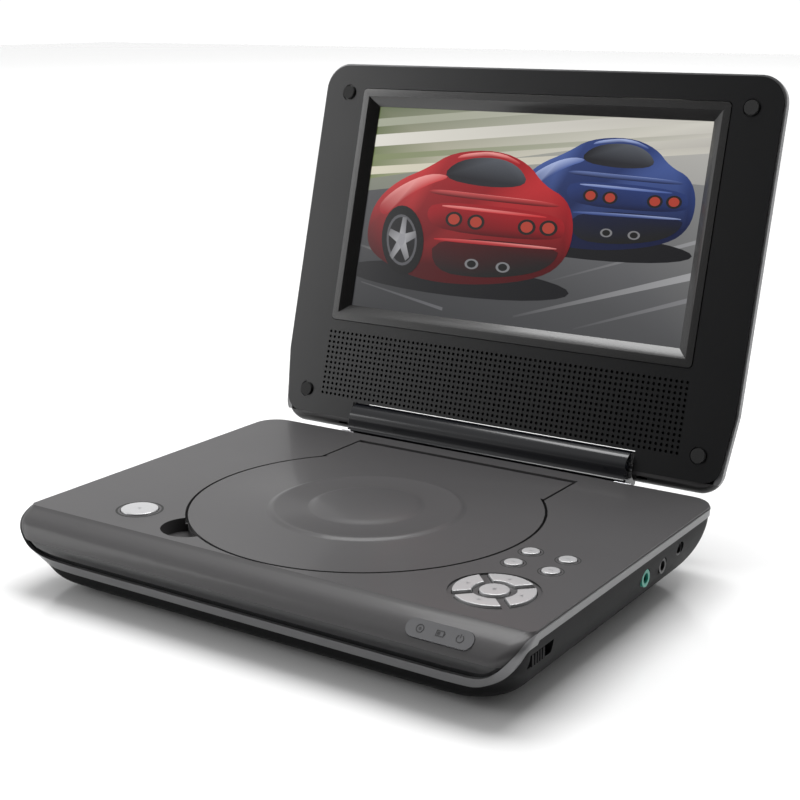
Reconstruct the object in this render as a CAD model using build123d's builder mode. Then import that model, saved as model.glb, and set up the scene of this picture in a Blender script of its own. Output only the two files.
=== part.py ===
from build123d import *
import math
import os

os.makedirs("parts", exist_ok=True)

# ---------------------------------------------------------------- main sizes, mm
# The desk is z = 0, the player faces -Y, the base's own datum line is mid_y.
mid_y = -30.2
foot_h = 1.5
hull_depth = 27.0
deck_z = foot_h + hull_depth
base_hw = 104.8
crease = 64.8
nose = 75.0
rear = 77.5
wall = 2.2
deck_t = 2.4
rim_drop = 3.4
side_tuck = 20.0
rear_tuck = 19.0
seam_top = 0.8
seam_low = 3.3
trim_proud = 0.45
core_in = 2.7

# disc door and the well under it
door_cy = mid_y + 1.0
door_r = 64.8
door_gap = 1.0
tail_hw = 50.0
door_t = 2.0
door_axis_y = mid_y + 67.0
bead_r = 2.0
pin_r = 1.0
step_r = 34.6
step_h = 0.45
hub_top_r = 17.9
hub_top_h = 1.55
run_fit = 0.05
well_r = 62.0
well_floor = 9.0
well_t = 1.5

# lid, in its own frame: u across, v up the face, w out of the face
lid_open = 105.2
lid_foot_y = mid_y + 84.2
lid_hw = 104.8
lid_top = 157.4
lid_low = -0.9
lid_depth = 13.0
lid_core_t = 2.2
lid_hw_low = 102.4
lip_v = 3.3
notch_hw = 66.6
notch_v = 10.9
hinge_y = mid_y + 87.6
hinge_z = deck_z + 3.6
shaft_r = 1.25
eye_r = 1.8
barrel_hw = 65.2
barrel_r = 6.2
barrel_back = hinge_y + 5.0
barrel_seat = mid_y + 82.4
barrel_toe = mid_y + 78.4
screen_w = 154.1
screen_h = 87.4
screen_v = 96.2
frame_w = 168.4
frame_h = 101.4
hole_pitch = 2.26
hole_r = 0.62
grille_v = 26.4

# controls
cap_proud = 0.55
cap_gap = 0.3
key_travel = 0.5
open_x = -67.0
open_y = mid_y - 47.2
open_r = 6.8
open_travel = 1.0
nav_x = 79.0
nav_y = mid_y - 42.9
dish_r = 15.0
dish_t = 0.6
arc_in = 7.2
arc_out = 13.3
arc_web = 3.0
enter_r = 4.8
key_r = 3.1
key_x = (72.3, 86.2)
key_y = (mid_y - 18.9, mid_y - 6.9)
flange = 0.9
board_drop = 5.4
board_t = 1.2

lid_t = math.radians(lid_open)
lid_plane = Plane(origin=(0, lid_foot_y, deck_z), x_dir=(1, 0, 0),
                  z_dir=(0, -math.sin(lid_t), -math.cos(lid_t)))


# ---------------------------------------------------------------- shared outlines
nose_line = ((0, 64.8), (1.3, 67.6), (2.6, 70.6), (4.4, 72.9), (6.5, 74.3), (9, nose),
             (12, 74.4), (15, 72.6), (18.5, 70.6), (22, 69.8), (24.6, 68), (26.2, 65.4),
             (hull_depth, 61.5))


def nose_at(drop):
    for (d0, r0), (d1, r1) in zip(nose_line, nose_line[1:]):
        if drop <= d1:
            return r0 + (r1 - r0) * (drop - d0) / (d1 - d0)
    return nose_line[-1][1]


def ellipse_tuck(drop, depth, reach):
    t = min(1.0, max(0.0, (drop - rim_drop) / (depth - rim_drop)))
    return reach * (1 - math.sqrt(1 - t * t))


def loop(z, hw, y0, y1, r0, r1):
    k = math.sqrt(0.5)
    with BuildSketch(Plane.XY.offset(z)) as sk:
        with BuildLine():
            Line((-hw + r0, y0), (hw - r0, y0))
            ThreePointArc((hw - r0, y0), (hw - r0 + r0 * k, y0 + r0 - r0 * k), (hw, y0 + r0))
            Line((hw, y0 + r0), (hw, y1 - r1))
            ThreePointArc((hw, y1 - r1), (hw - r1 + r1 * k, y1 - r1 + r1 * k), (hw - r1, y1))
            Line((hw - r1, y1), (-hw + r1, y1))
            ThreePointArc((-hw + r1, y1), (-hw + r1 - r1 * k, y1 - r1 + r1 * k),
                          (-hw, y1 - r1))
            Line((-hw, y1 - r1), (-hw, y0 + r0))
            ThreePointArc((-hw, y0 + r0), (-hw + r0 - r0 * k, y0 + r0 - r0 * k),
                          (-hw + r0, y0))
        make_face()
    return sk.sketch


def hull(inset, drops):
    depth = drops[-1]
    with BuildPart() as body:
        for d in drops:
            hw = base_hw - inset - ellipse_tuck(d, depth, side_tuck)
            y0 = mid_y - nose_at(d) + inset
            y1 = mid_y + rear - inset - ellipse_tuck(d, depth, rear_tuck)
            r0 = max(1.2, 2.5 + 7.5 * min(1, d / 9) + 4 * max(0, (d - 9) / 18) - inset)
            r1 = max(1.2, 10 + 6 * d / hull_depth - inset)
            add(loop(deck_z - d, hw, y0, y1, r0, r1))
        loft()
    return body.part


outer_drops = (0, 1.3, 2.6, 4.4, 6.5, 9, 12, 15, 18.5, 22, 24.6, 26.2, hull_depth)
inner_drops = (deck_t, 4.4, 6.5, 9, 12, 15, 18.5, 21.5, 23.6, hull_depth - 2.3)
outer = hull(0, outer_drops)
inner = hull(wall, inner_drops)
proud = hull(-trim_proud, outer_drops)

top_seam = ((104.9, -0.85), (104.3, -1.6), (103.6, -3.4), (102, -6), (99.4, -9.2),
            (95.5, -12.7), (91.5, -14.9), (86, -15.9), (78, -16.3))
low_seam = ((105.3, -3.35), (104.9, -4.4), (103.6, -7.6), (101.4, -10.9), (98.4, -14),
            (94.1, -16.9), (89.8, -18.9), (84.5, -19.7), (78, -19.9))


def above(seam, drop):
    with BuildPart() as body:
        with BuildSketch(Plane.XZ.offset(-(mid_y - 62))):
            with BuildLine():
                right = [(x, deck_z + z) for x, z in seam]
                left = [(-x, z) for x, z in reversed(right)]
                Line((112, deck_z + 6), (112, deck_z - drop))
                Line((112, deck_z - drop), right[0])
                Spline(*right)
                Line(right[-1], left[0])
                Spline(*left)
                Line(left[-1], (-112, deck_z - drop))
                Line((-112, deck_z - drop), (-112, deck_z + 6))
                Line((-112, deck_z + 6), (112, deck_z + 6))
            make_face()
        extrude(amount=30)
        with BuildSketch(Plane.XY.offset(deck_z - drop)):
            with Locations((0, mid_y + 14)):
                Rectangle(224, 152)
        extrude(amount=drop + 6)
    return body.part


above_trim = above(top_seam, seam_top)
above_shell = above(low_seam, seam_low)

with BuildPart() as deck_core_b:
    add(loop(deck_z - deck_t, base_hw - core_in, mid_y - 66.5, mid_y + rear - core_in, 3, 8))
    extrude(amount=deck_t)
    add(outer, mode=Mode.INTERSECT)
deck_core = deck_core_b.part

with BuildPart() as door_hole_b:
    with BuildSketch(Plane.XY.offset(deck_z - deck_t - 4)):
        with Locations((0, door_cy)):
            Circle(door_r + door_gap)
        with Locations((0, mid_y + 55.5)):
            Rectangle(2 * (tail_hw + door_gap), 29)
    extrude(amount=deck_t + 6)
door_hole = door_hole_b.part


def nav_arcs(grow):
    with BuildSketch(Plane.XY, mode=Mode.PRIVATE) as sk:
        Circle(arc_out + grow)
        Circle(arc_in - grow, mode=Mode.SUBTRACT)
        for a in (45, 135):
            Rectangle(40, arc_web - 2 * grow, rotation=a, mode=Mode.SUBTRACT)
    return sk.sketch


# ---------------------------------------------------------------- base: outside
cup_x = -39.4
cup_y = mid_y - 51.5
cup_r = 10.2
lip_drop = 9.2
lamp_x = 77.3
lamp_plane = Plane(origin=(lamp_x, mid_y - 72.5, deck_z - 4.1), x_dir=(1, 0, 0),
                   z_dir=(0, -0.707, 0.707))
lamp_w = 24.0
lamp_h = 6.4
post_xy = ((62.5, mid_y - 55), (97, mid_y - 58), (70.5, mid_y - 1), (96, mid_y - 1))
switch_y = mid_y - 58.6
switch_drop = 9.2
switch_l = 14.5
switch_h = 4.6

with BuildPart() as base_top_cover:
    add(outer)
    add(inner, mode=Mode.SUBTRACT)
    add(above_trim, mode=Mode.INTERSECT)
    add(deck_core)
    with BuildSketch(Plane.XY.offset(deck_z - lip_drop - 12)):
        with Locations((0, mid_y - 75)):
            Rectangle(230, 30)
    extrude(amount=12, mode=Mode.SUBTRACT)
    add(door_hole, mode=Mode.SUBTRACT)
    # finger pocket beside the door
    with BuildSketch(Plane.XY.offset(deck_z - 6.4)):
        with Locations((cup_x, cup_y)):
            Circle(cup_r + 1.6)
        with Locations((0, door_cy)):
            Circle(door_r - 0.9, mode=Mode.SUBTRACT)
    extrude(amount=6.4 - deck_t)
    with BuildSketch(Plane.XY.offset(deck_z - 5)):
        with Locations((cup_x, cup_y)):
            Circle(cup_r)
        with Locations((0, door_cy)):
            Circle(door_r + 0.2, mode=Mode.SUBTRACT)
    extrude(amount=6, mode=Mode.SUBTRACT)
    # blocks that hold the door's pins
    with BuildSketch(Plane.XY.offset(deck_z - 4.6)):
        with Locations((-tail_hw - 4.2, mid_y + 66.5), (tail_hw + 4.2, mid_y + 66.5)):
            Rectangle(6.4, 6.4)
    extrude(amount=4.6 - deck_t)
    with BuildSketch(Plane.YZ):
        with Locations((door_axis_y, deck_z - bead_r)):
            Circle(pin_r + run_fit)
    extrude(amount=tail_hw + 5, both=True, mode=Mode.SUBTRACT)
    # openings for the keys
    with BuildSketch(Plane.XY.offset(deck_z - dish_t)):
        with Locations((nav_x, nav_y)):
            Circle(dish_r)
    extrude(amount=2, mode=Mode.SUBTRACT)
    with BuildSketch(Plane.XY.offset(deck_z - 4)):
        with Locations((nav_x, nav_y)):
            add(nav_arcs(cap_gap))
            Circle(enter_r + cap_gap)
        with Locations((open_x, open_y)):
            Circle(open_r + cap_gap)
        for x in key_x:
            with Locations((x, key_y[0]), (x, key_y[1])):
                Circle(key_r + cap_gap)
    extrude(amount=8, mode=Mode.SUBTRACT)
    # seat of the lamp window in the nose
    with BuildSketch(lamp_plane.offset(-0.9)):
        SlotOverall(lamp_w, lamp_h)
    extrude(amount=4, mode=Mode.SUBTRACT)
    with BuildSketch(lamp_plane.offset(-5)):
        SlotOverall(lamp_w - 2, lamp_h - 2)
    extrude(amount=5, mode=Mode.SUBTRACT)
    # posts that carry the key board
    with BuildSketch(Plane.XY.offset(deck_z - board_drop)):
        with Locations(*post_xy):
            Circle(1.6)
    extrude(amount=board_drop - deck_t + 0.2)
base_top_cover.part.label = "base_top_cover"
export_step(base_top_cover.part, "parts/base_top_cover.step")

with BuildPart() as front_fascia:
    add(hull(0.9, outer_drops))
    add(hull(wall, (0,) + outer_drops[1:-1] + (hull_depth,)), mode=Mode.SUBTRACT)
    add(above_trim, mode=Mode.INTERSECT)
    with BuildSketch(Plane.XY.offset(deck_z - lip_drop)):
        with Locations((0, mid_y - 60 + 152)):
            Rectangle(260, 304)
        with Locations((0, mid_y - 76)):
            Rectangle(260, 40)
    extrude(amount=20, mode=Mode.SUBTRACT)
    with BuildSketch(Plane.XY.offset(deck_z - 30)):
        with Locations((0, mid_y - 60 + 152)):
            Rectangle(260, 304)
    extrude(amount=40, mode=Mode.SUBTRACT)
front_fascia.part.label = "front_fascia"
export_step(front_fascia.part, "parts/front_fascia.step")

with BuildPart() as base_trim_band:
    add(proud)
    add(inner, mode=Mode.SUBTRACT)
    add(above_shell, mode=Mode.INTERSECT)
    add(above_trim, mode=Mode.SUBTRACT)
    add(loop(deck_z - 6, base_hw - core_in, mid_y - 66.5, mid_y + rear - core_in, 3, 8))
    extrude(amount=6, mode=Mode.SUBTRACT)
    with BuildSketch(Plane.YZ.offset(base_hw - 8)):
        with Locations((switch_y, deck_z - switch_drop)):
            Rectangle(switch_l, switch_h)
    extrude(amount=12, mode=Mode.SUBTRACT)
base_trim_band.part.label = "base_trim_band"
export_step(base_trim_band.part, "parts/base_trim_band.step")

# side sockets and the slide switch, on the right wall
jack_y = mid_y + 15.9
jack_drop = 10.0
av_y = mid_y + 30.3
av_drop = 10.2
dc_y = mid_y + 44.5
dc_drop = 8.4
ring_r = 3.3
socket_r = 1.8
dc_r = 1.9
jack_box = 9.9
neck_hw = 63.5
shell_floor = foot_h + 2.3
screw_xy = ((-70, mid_y - 50), (70, mid_y - 50), (-70, mid_y + 48), (70, mid_y + 48))
foot_xy = ((-76, mid_y - 52), (76, mid_y - 52), (-76, mid_y + 46), (76, mid_y + 46))
board_xy = ((-48, mid_y - 40), (48, mid_y - 40), (-48, mid_y + 30), (48, mid_y + 30))
board_z = foot_h + 5.5
cell_x = -84.0
cell_z = foot_h + 12.4
cell_r = 9.0
cell_l = 49.5

with BuildPart() as base_bottom_shell:
    add(outer)
    add(inner, mode=Mode.SUBTRACT)
    add(above_shell, mode=Mode.SUBTRACT)
    # neck that carries the hinge housing
    with BuildSketch(Plane.YZ):
        with BuildLine():
            Polyline((mid_y + 70, deck_z - 16.5), (mid_y + 84, deck_z - 11.5),
                     (mid_y + 91, deck_z - 7.5), (mid_y + 91, deck_z - 4.6),
                     (mid_y + 78.6, deck_z - 4.6), (mid_y + 76, deck_z - 7),
                     (mid_y + 70, deck_z - 7), (mid_y + 70, deck_z - 16.5))
        make_face()
    extrude(amount=neck_hw, both=True)
    # sockets and switch pocket
    with BuildSketch(Plane.YZ.offset(base_hw - 8)):
        with Locations((jack_y, deck_z - jack_drop)):
            Circle(ring_r)
        with Locations((av_y, deck_z - av_drop)):
            Circle(ring_r - 0.3)
        with Locations((dc_y, deck_z - dc_drop)):
            Circle(dc_r + 0.8)
        with Locations((switch_y, deck_z - switch_drop)):
            Rectangle(switch_l, switch_h)
    extrude(amount=12, mode=Mode.SUBTRACT)
    # bosses under the case screws and posts under the board
    with BuildSketch(Plane.XY.offset(foot_h + 1)):
        with Locations(*screw_xy):
            Circle(4)
        with Locations(*board_xy):
            Circle(2.2)
    extrude(amount=board_z - foot_h - 1)
    with BuildSketch(Plane.XY.offset(foot_h - 1)):
        with Locations(*screw_xy):
            Circle(2.6)
    extrude(amount=2.6, mode=Mode.SUBTRACT)
    with BuildSketch(Plane.XY.offset(foot_h - 1)):
        with Locations(*screw_xy):
            Circle(1.5)
    extrude(amount=10, mode=Mode.SUBTRACT)
    # cradle for the battery cells
    for y in (mid_y + 50, mid_y - 28):
        with BuildSketch(Plane.XZ.offset(-y)):
            with Locations((cell_x + 1.5, foot_h + 6)):
                Rectangle(15, 9)
            with Locations((cell_x, cell_z)):
                Circle(cell_r, mode=Mode.SUBTRACT)
        extrude(amount=3)
base_bottom_shell.part.label = "base_bottom_shell"
export_step(base_bottom_shell.part, "parts/base_bottom_shell.step")

with BuildPart() as hinge_barrel:
    with BuildSketch(Plane.YZ):
        with BuildLine():
            # toe on the deck, front, rounded top about the hinge line, then the back
            Line((barrel_seat, deck_z), (barrel_toe, deck_z))
            ThreePointArc((barrel_toe, deck_z), (hinge_y - barrel_r - 0.7, deck_z + 0.4),
                          (hinge_y - barrel_r, deck_z + 1.6))
            Line((hinge_y - barrel_r, deck_z + 1.6), (hinge_y - barrel_r, hinge_z))
            ThreePointArc((hinge_y - barrel_r, hinge_z), (hinge_y, hinge_z + barrel_r),
                          (hinge_y + barrel_r * 0.8, hinge_z + barrel_r * 0.6))
            Polyline((hinge_y + barrel_r * 0.8, hinge_z + barrel_r * 0.6),
                     (barrel_back, deck_z + 1.2), (barrel_back - 1, deck_z - 4.6),
                     (barrel_seat, deck_z - 4.6), (barrel_seat, deck_z))
        make_face()
    extrude(amount=barrel_hw, both=True)
    with BuildSketch(Plane.YZ):
        with Locations((hinge_y, hinge_z)):
            Circle(shaft_r)
    extrude(amount=barrel_hw, both=True, mode=Mode.SUBTRACT)
hinge_barrel.part.label = "hinge_barrel"
export_step(hinge_barrel.part, "parts/hinge_barrel.step")

with BuildPart() as hinge_shafts:
    for s in (-1, 1):
        with BuildSketch(Plane.YZ.offset(s * (barrel_hw - 14))):
            with Locations((hinge_y, hinge_z)):
                Circle(shaft_r)
        extrude(amount=s * 22)
hinge_shafts.part.label = "hinge_shafts"
export_step(hinge_shafts.part, "parts/hinge_shafts.step")

with BuildPart() as hinge_clips:
    for s in (-1, 1):
        with BuildSketch(Plane.YZ.offset(s * (neck_hw - 2))):
            with Locations((mid_y + 80.4, deck_z - 1.9)):
                Circle(1.3)
            with Locations((mid_y + 80.4, deck_z - 3.3)):
                Rectangle(2, 2.6)
        extrude(amount=s * 6.5)
hinge_clips.part.label = "hinge_clips"
export_step(hinge_clips.part, "parts/hinge_clips.step")

with BuildPart() as rubber_feet:
    with BuildSketch(Plane.XY):
        with Locations(*foot_xy):
            Circle(5.5)
    extrude(amount=foot_h)
    chamfer(rubber_feet.edges().group_by(Axis.Z)[0], 0.4)
rubber_feet.part.label = "rubber_feet"
export_step(rubber_feet.part, "parts/rubber_feet.step")

with BuildPart() as base_screws:
    with BuildSketch(Plane.XY.offset(foot_h + 0.5)):
        with Locations(*screw_xy):
            Circle(2.4)
    extrude(amount=1.1)
    with BuildSketch(Plane.XY.offset(foot_h + 1.6)):
        with Locations(*screw_xy):
            Circle(1.3)
    extrude(amount=4)
    with BuildSketch(Plane.XY.offset(foot_h + 0.5)):
        with Locations(*screw_xy):
            Rectangle(3, 0.6)
            Rectangle(0.6, 3)
    extrude(amount=0.6, mode=Mode.SUBTRACT)
base_screws.part.label = "base_screws"
export_step(base_screws.part, "parts/base_screws.step")

with BuildPart() as lamp_window:
    with BuildSketch(lamp_plane.offset(-0.9)):
        SlotOverall(lamp_w - 0.3, lamp_h - 0.3)
    extrude(amount=1.2)
lamp_window.part.label = "lamp_window"
export_step(lamp_window.part, "parts/lamp_window.step")

with BuildPart() as lamps:
    with BuildSketch(lamp_plane.offset(-2.4)):
        with Locations((-7, 0), (0, 0), (7, 0)):
            Circle(1.5)
    extrude(amount=1.5)
lamps.part.label = "lamps"
export_step(lamps.part, "parts/lamps.step")

with BuildPart() as headphone_jack:
    with BuildSketch(Plane.YZ.offset(base_hw - 15)):
        with Locations((jack_y, deck_z - jack_drop)):
            Rectangle(8, 8)
    extrude(amount=jack_box)
    with BuildSketch(Plane.YZ.offset(base_hw - 15 + jack_box)):
        with Locations((jack_y, deck_z - jack_drop)):
            Circle(ring_r - 0.15)
    extrude(amount=13.5 - jack_box)
    with BuildSketch(Plane.YZ.offset(base_hw - 13)):
        with Locations((jack_y, deck_z - jack_drop)):
            Circle(socket_r)
    extrude(amount=14, mode=Mode.SUBTRACT)
headphone_jack.part.label = "headphone_jack"
export_step(headphone_jack.part, "parts/headphone_jack.step")

with BuildPart() as jack_ring:
    with BuildSketch(Plane.YZ.offset(base_hw - 1.5)):
        with Locations((jack_y, deck_z - jack_drop)):
            Circle(ring_r - 0.15)
            Circle(socket_r, mode=Mode.SUBTRACT)
    extrude(amount=1)
jack_ring.part.label = "jack_ring"
export_step(jack_ring.part, "parts/jack_ring.step")

with BuildPart() as av_jack:
    with BuildSketch(Plane.YZ.offset(base_hw - 15)):
        with Locations((av_y, deck_z - av_drop)):
            Rectangle(8, 8)
    extrude(amount=jack_box)
    with BuildSketch(Plane.YZ.offset(base_hw - 15 + jack_box)):
        with Locations((av_y, deck_z - av_drop)):
            Circle(ring_r - 0.45)
    extrude(amount=14.2 - jack_box)
    with BuildSketch(Plane.YZ.offset(base_hw - 13)):
        with Locations((av_y, deck_z - av_drop)):
            Circle(socket_r)
    extrude(amount=14, mode=Mode.SUBTRACT)
av_jack.part.label = "av_jack"
export_step(av_jack.part, "parts/av_jack.step")

with BuildPart() as dc_jack:
    with BuildSketch(Plane.YZ.offset(base_hw - 15)):
        with Locations((dc_y, deck_z - dc_drop - 0.6)):
            Rectangle(9, 9)
    extrude(amount=jack_box)
    with BuildSketch(Plane.YZ.offset(base_hw - 15 + jack_box)):
        with Locations((dc_y, deck_z - dc_drop)):
            Circle(dc_r + 0.65)
    extrude(amount=14 - jack_box)
    with BuildSketch(Plane.YZ.offset(base_hw - 12)):
        with Locations((dc_y, deck_z - dc_drop)):
            Circle(dc_r)
            Circle(0.55, mode=Mode.SUBTRACT)
    extrude(amount=14, mode=Mode.SUBTRACT)
    with BuildSketch(Plane.YZ.offset(base_hw - 4)):
        with Locations((dc_y, deck_z - dc_drop)):
            Circle(1)
    extrude(amount=8, mode=Mode.SUBTRACT)
dc_jack.part.label = "dc_jack"
export_step(dc_jack.part, "parts/dc_jack.step")

with BuildPart() as switch_body:
    with BuildSketch(Plane.YZ.offset(base_hw - 11)):
        with Locations((switch_y, deck_z - switch_drop)):
            Rectangle(12, 4.6)
    extrude(amount=7)
    with BuildSketch(Plane.YZ.offset(base_hw - 8)):
        with Locations((switch_y, deck_z - switch_drop)):
            Rectangle(10, 2.6)
    extrude(amount=6, mode=Mode.SUBTRACT)
switch_body.part.label = "switch_body"
export_step(switch_body.part, "parts/switch_body.step")

# ---------------------------------------------------------------- base: inside
hub_hole = 13.0
slot_w = 30.0
rail_x = 12.0
rail_r = 1.5
rail_drop = 14.5
sled_y = door_cy - 32.0

with BuildPart() as disc_well:
    with BuildSketch(Plane.XY.offset(deck_z - well_floor - well_t)):
        with Locations((0, door_cy)):
            Circle(well_r + well_t)
    extrude(amount=well_floor + well_t - deck_t - 0.1)
    with BuildSketch(Plane.XY.offset(deck_z - 4)):
        with Locations((0, door_cy)):
            Circle(well_r + 6)
    extrude(amount=4 - deck_t)
    with BuildSketch(Plane.XY.offset(deck_z - 12)):
        with Locations((0, mid_y + 66)):
            Rectangle(124, 16)
        with Locations((cup_x, cup_y)):
            Circle(cup_r + 2)
        with Locations((0, mid_y - 74)):
            Rectangle(124, 20)
    extrude(amount=14, mode=Mode.SUBTRACT)
    with BuildSketch(Plane.XY.offset(deck_z - well_floor - well_t)):
        with Locations((0, door_cy)):
            Circle(well_r + well_t)
    extrude(amount=well_t)
    with BuildSketch(Plane.XY.offset(deck_z - well_floor - well_t)):
        with Locations((0, door_cy)):
            Circle(well_r + well_t)
            Circle(well_r, mode=Mode.SUBTRACT)
        with Locations((0, mid_y + 66)):
            Rectangle(124, 11, mode=Mode.SUBTRACT)
    extrude(amount=well_floor + well_t - deck_t - 0.1)
    with BuildSketch(Plane.XY.offset(deck_z - well_floor)):
        with Locations((0, door_cy)):
            Circle(well_r)
    extrude(amount=12, mode=Mode.SUBTRACT)
    with BuildSketch(Plane.XY.offset(deck_z - 14)):
        with Locations((0, door_cy)):
            Circle(hub_hole)
        with Locations((0, door_cy - 34)):
            Rectangle(slot_w, 46)
    extrude(amount=10, mode=Mode.SUBTRACT)
    for s in (-1, 1):
        with BuildSketch(Plane.XY.offset(deck_z - rail_drop - 2.4)):
            with Locations((s * rail_x, door_cy - 59.5), (s * 16.5, door_cy - 14.5)):
                Rectangle(10, 4)
        extrude(amount=rail_drop + 2.4 - well_floor - well_t + 0.2)
    with BuildSketch(Plane.XZ.offset(-(door_cy - 10))):
        with Locations((-rail_x, deck_z - rail_drop), (rail_x, deck_z - rail_drop)):
            Circle(rail_r)
    extrude(amount=60, mode=Mode.SUBTRACT)
disc_well.part.label = "disc_well"
export_step(disc_well.part, "parts/disc_well.step")

with BuildPart() as sled_rails:
    with BuildSketch(Plane.XZ.offset(-(door_cy - 12.5))):
        with Locations((-rail_x, deck_z - rail_drop), (rail_x, deck_z - rail_drop)):
            Circle(rail_r)
    extrude(amount=49)
sled_rails.part.label = "sled_rails"
export_step(sled_rails.part, "parts/sled_rails.step")

with BuildPart() as laser_sled:
    with BuildSketch(Plane.XY.offset(deck_z - rail_drop - 3)):
        with Locations((0, sled_y)):
            Rectangle(28.6, 16)
    extrude(amount=6.6)
    with BuildSketch(Plane.XY.offset(deck_z - rail_drop + 3.6)):
        with Locations((0, sled_y)):
            Rectangle(15, 11)
    extrude(amount=1.6)
    with BuildSketch(Plane.XZ.offset(-(sled_y + 10))):
        with Locations((-rail_x, deck_z - rail_drop), (rail_x, deck_z - rail_drop)):
            Circle(rail_r + run_fit)
    extrude(amount=20, mode=Mode.SUBTRACT)
laser_sled.part.label = "laser_sled"
export_step(laser_sled.part, "parts/laser_sled.step")

with BuildPart() as laser_lens:
    with BuildSketch(Plane.XY.offset(deck_z - rail_drop + 5.2)):
        with Locations((0, sled_y)):
            Circle(2.2)
    extrude(amount=0.6)
    fillet(laser_lens.edges().group_by(Axis.Z)[-1], 0.4)
laser_lens.part.label = "laser_lens"
export_step(laser_lens.part, "parts/laser_lens.step")

with BuildPart() as spindle_motor:
    with BuildSketch(Plane.XY.offset(deck_z - 17)):
        with Locations((0, door_cy)):
            Circle(11)
    extrude(amount=5.8)
    with BuildSketch(Plane.XY.offset(deck_z - 12)):
        with Locations((0, door_cy + 2)):
            Rectangle(32, 20)
        with Locations((0, door_cy)):
            Circle(11.5, mode=Mode.SUBTRACT)
    extrude(amount=1.5)
    with BuildSketch(Plane.XY.offset(deck_z - 12)):
        with Locations((0, door_cy)):
            Circle(12)
    extrude(amount=0.8)
    with BuildSketch(Plane.XY.offset(deck_z - 15)):
        with Locations((0, door_cy)):
            Circle(1 + run_fit)
    extrude(amount=6, mode=Mode.SUBTRACT)
spindle_motor.part.label = "spindle_motor"
export_step(spindle_motor.part, "parts/spindle_motor.step")

with BuildPart() as turntable:
    with BuildSketch(Plane.XY.offset(deck_z - 14.5)):
        with Locations((0, door_cy)):
            Circle(1)
    extrude(amount=4.5)
    with BuildSketch(Plane.XY.offset(deck_z - 10.2)):
        with Locations((0, door_cy)):
            Circle(12.5)
    extrude(amount=2.6)
    with BuildSketch(Plane.XY.offset(deck_z - 7.6)):
        with Locations((0, door_cy)):
            Circle(7.4)
    extrude(amount=2.6)
    chamfer(turntable.edges().group_by(Axis.Z)[-1], 0.7)
    with BuildSketch(Plane.XY.offset(deck_z - 7.0)):
        with Locations((0, door_cy)):
            with PolarLocations(6.2, 3):
                Rectangle(2.8, 1.6)
    extrude(amount=1.0, mode=Mode.SUBTRACT)
turntable.part.label = "turntable"
export_step(turntable.part, "parts/turntable.step")

with BuildPart() as hub_catches:
    with BuildSketch(Plane.XY.offset(deck_z - 7.0)):
        with Locations((0, door_cy)):
            with PolarLocations(6.2, 3):
                Rectangle(2.2, 1.4)
    extrude(amount=0.9)
hub_catches.part.label = "hub_catches"
export_step(hub_catches.part, "parts/hub_catches.step")

with BuildPart() as feed_motor:
    with BuildSketch(Plane.XZ.offset(-(door_cy - 14))):
        with Locations((27, deck_z - 14.7)):
            Circle(4)
    extrude(amount=12)
    with BuildSketch(Plane.XZ.offset(-(door_cy - 26))):
        with Locations((27, deck_z - 14.7)):
            Circle(1.2)
    extrude(amount=32)
feed_motor.part.label = "feed_motor"
export_step(feed_motor.part, "parts/feed_motor.step")

with BuildPart() as main_board:
    with BuildSketch(Plane.XY.offset(board_z)):
        with Locations((0, mid_y - 5)):
            Rectangle(116, 90)
        with Locations((74, mid_y + 20)):
            Rectangle(34, 40)
    extrude(amount=1.6)
main_board.part.label = "main_board"
export_step(main_board.part, "parts/main_board.step")

with BuildPart() as board_chips:
    with BuildSketch(Plane.XY.offset(board_z + 1.6)):
        with Locations((-25, mid_y - 28)):
            Rectangle(22, 22)
        with Locations((35, mid_y + 22)):
            Rectangle(14, 9)
        with Locations((-40, mid_y + 25)):
            Rectangle(10, 6)
        with Locations((78, mid_y + 8)):
            Rectangle(9, 9)
    extrude(amount=1.4)
    with BuildSketch(Plane.XY.offset(board_z + 1.6)):
        with Locations((50, mid_y - 30), (50, mid_y - 42), (80, mid_y + 30)):
            Circle(3.2)
    extrude(amount=5.5)
board_chips.part.label = "board_chips"
export_step(board_chips.part, "parts/board_chips.step")

with BuildPart() as battery_cells:
    for y in (mid_y + 58, mid_y + 7):
        with BuildSketch(Plane.XZ.offset(-y)):
            with Locations((cell_x, cell_z)):
                Circle(cell_r)
        extrude(amount=cell_l)
battery_cells.part.label = "battery_cells"
export_step(battery_cells.part, "parts/battery_cells.step")

with BuildPart() as key_board:
    with BuildSketch(Plane.XY.offset(deck_z - board_drop - board_t)):
        with Locations((79.5, mid_y - 29.5)):
            Rectangle(39, 60)
        with Locations((0, door_cy)):
            Circle(door_r + 3.5, mode=Mode.SUBTRACT)
    extrude(amount=board_t)
key_board.part.label = "key_board"
export_step(key_board.part, "parts/key_board.step")

nav_mid = (arc_in + arc_out) / 2
key_spots = [(nav_x, nav_y), (nav_x + nav_mid, nav_y), (nav_x - nav_mid, nav_y),
             (nav_x, nav_y + nav_mid), (nav_x, nav_y - nav_mid)]
key_spots += [(x, y) for x in key_x for y in key_y]
cap_foot = deck_t + cap_gap + flange
dome_h = board_drop - cap_foot - key_travel - 0.1

with BuildPart() as tact_switches:
    with BuildSketch(Plane.XY.offset(deck_z - board_drop)):
        with Locations(*key_spots):
            Rectangle(4.4, 4.4)
    extrude(amount=dome_h * 0.6)
    with BuildSketch(Plane.XY.offset(deck_z - board_drop + dome_h * 0.6)):
        with Locations(*key_spots):
            Circle(1.3)
    extrude(amount=dome_h * 0.4)
tact_switches.part.label = "tact_switches"
export_step(tact_switches.part, "parts/tact_switches.step")


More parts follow.
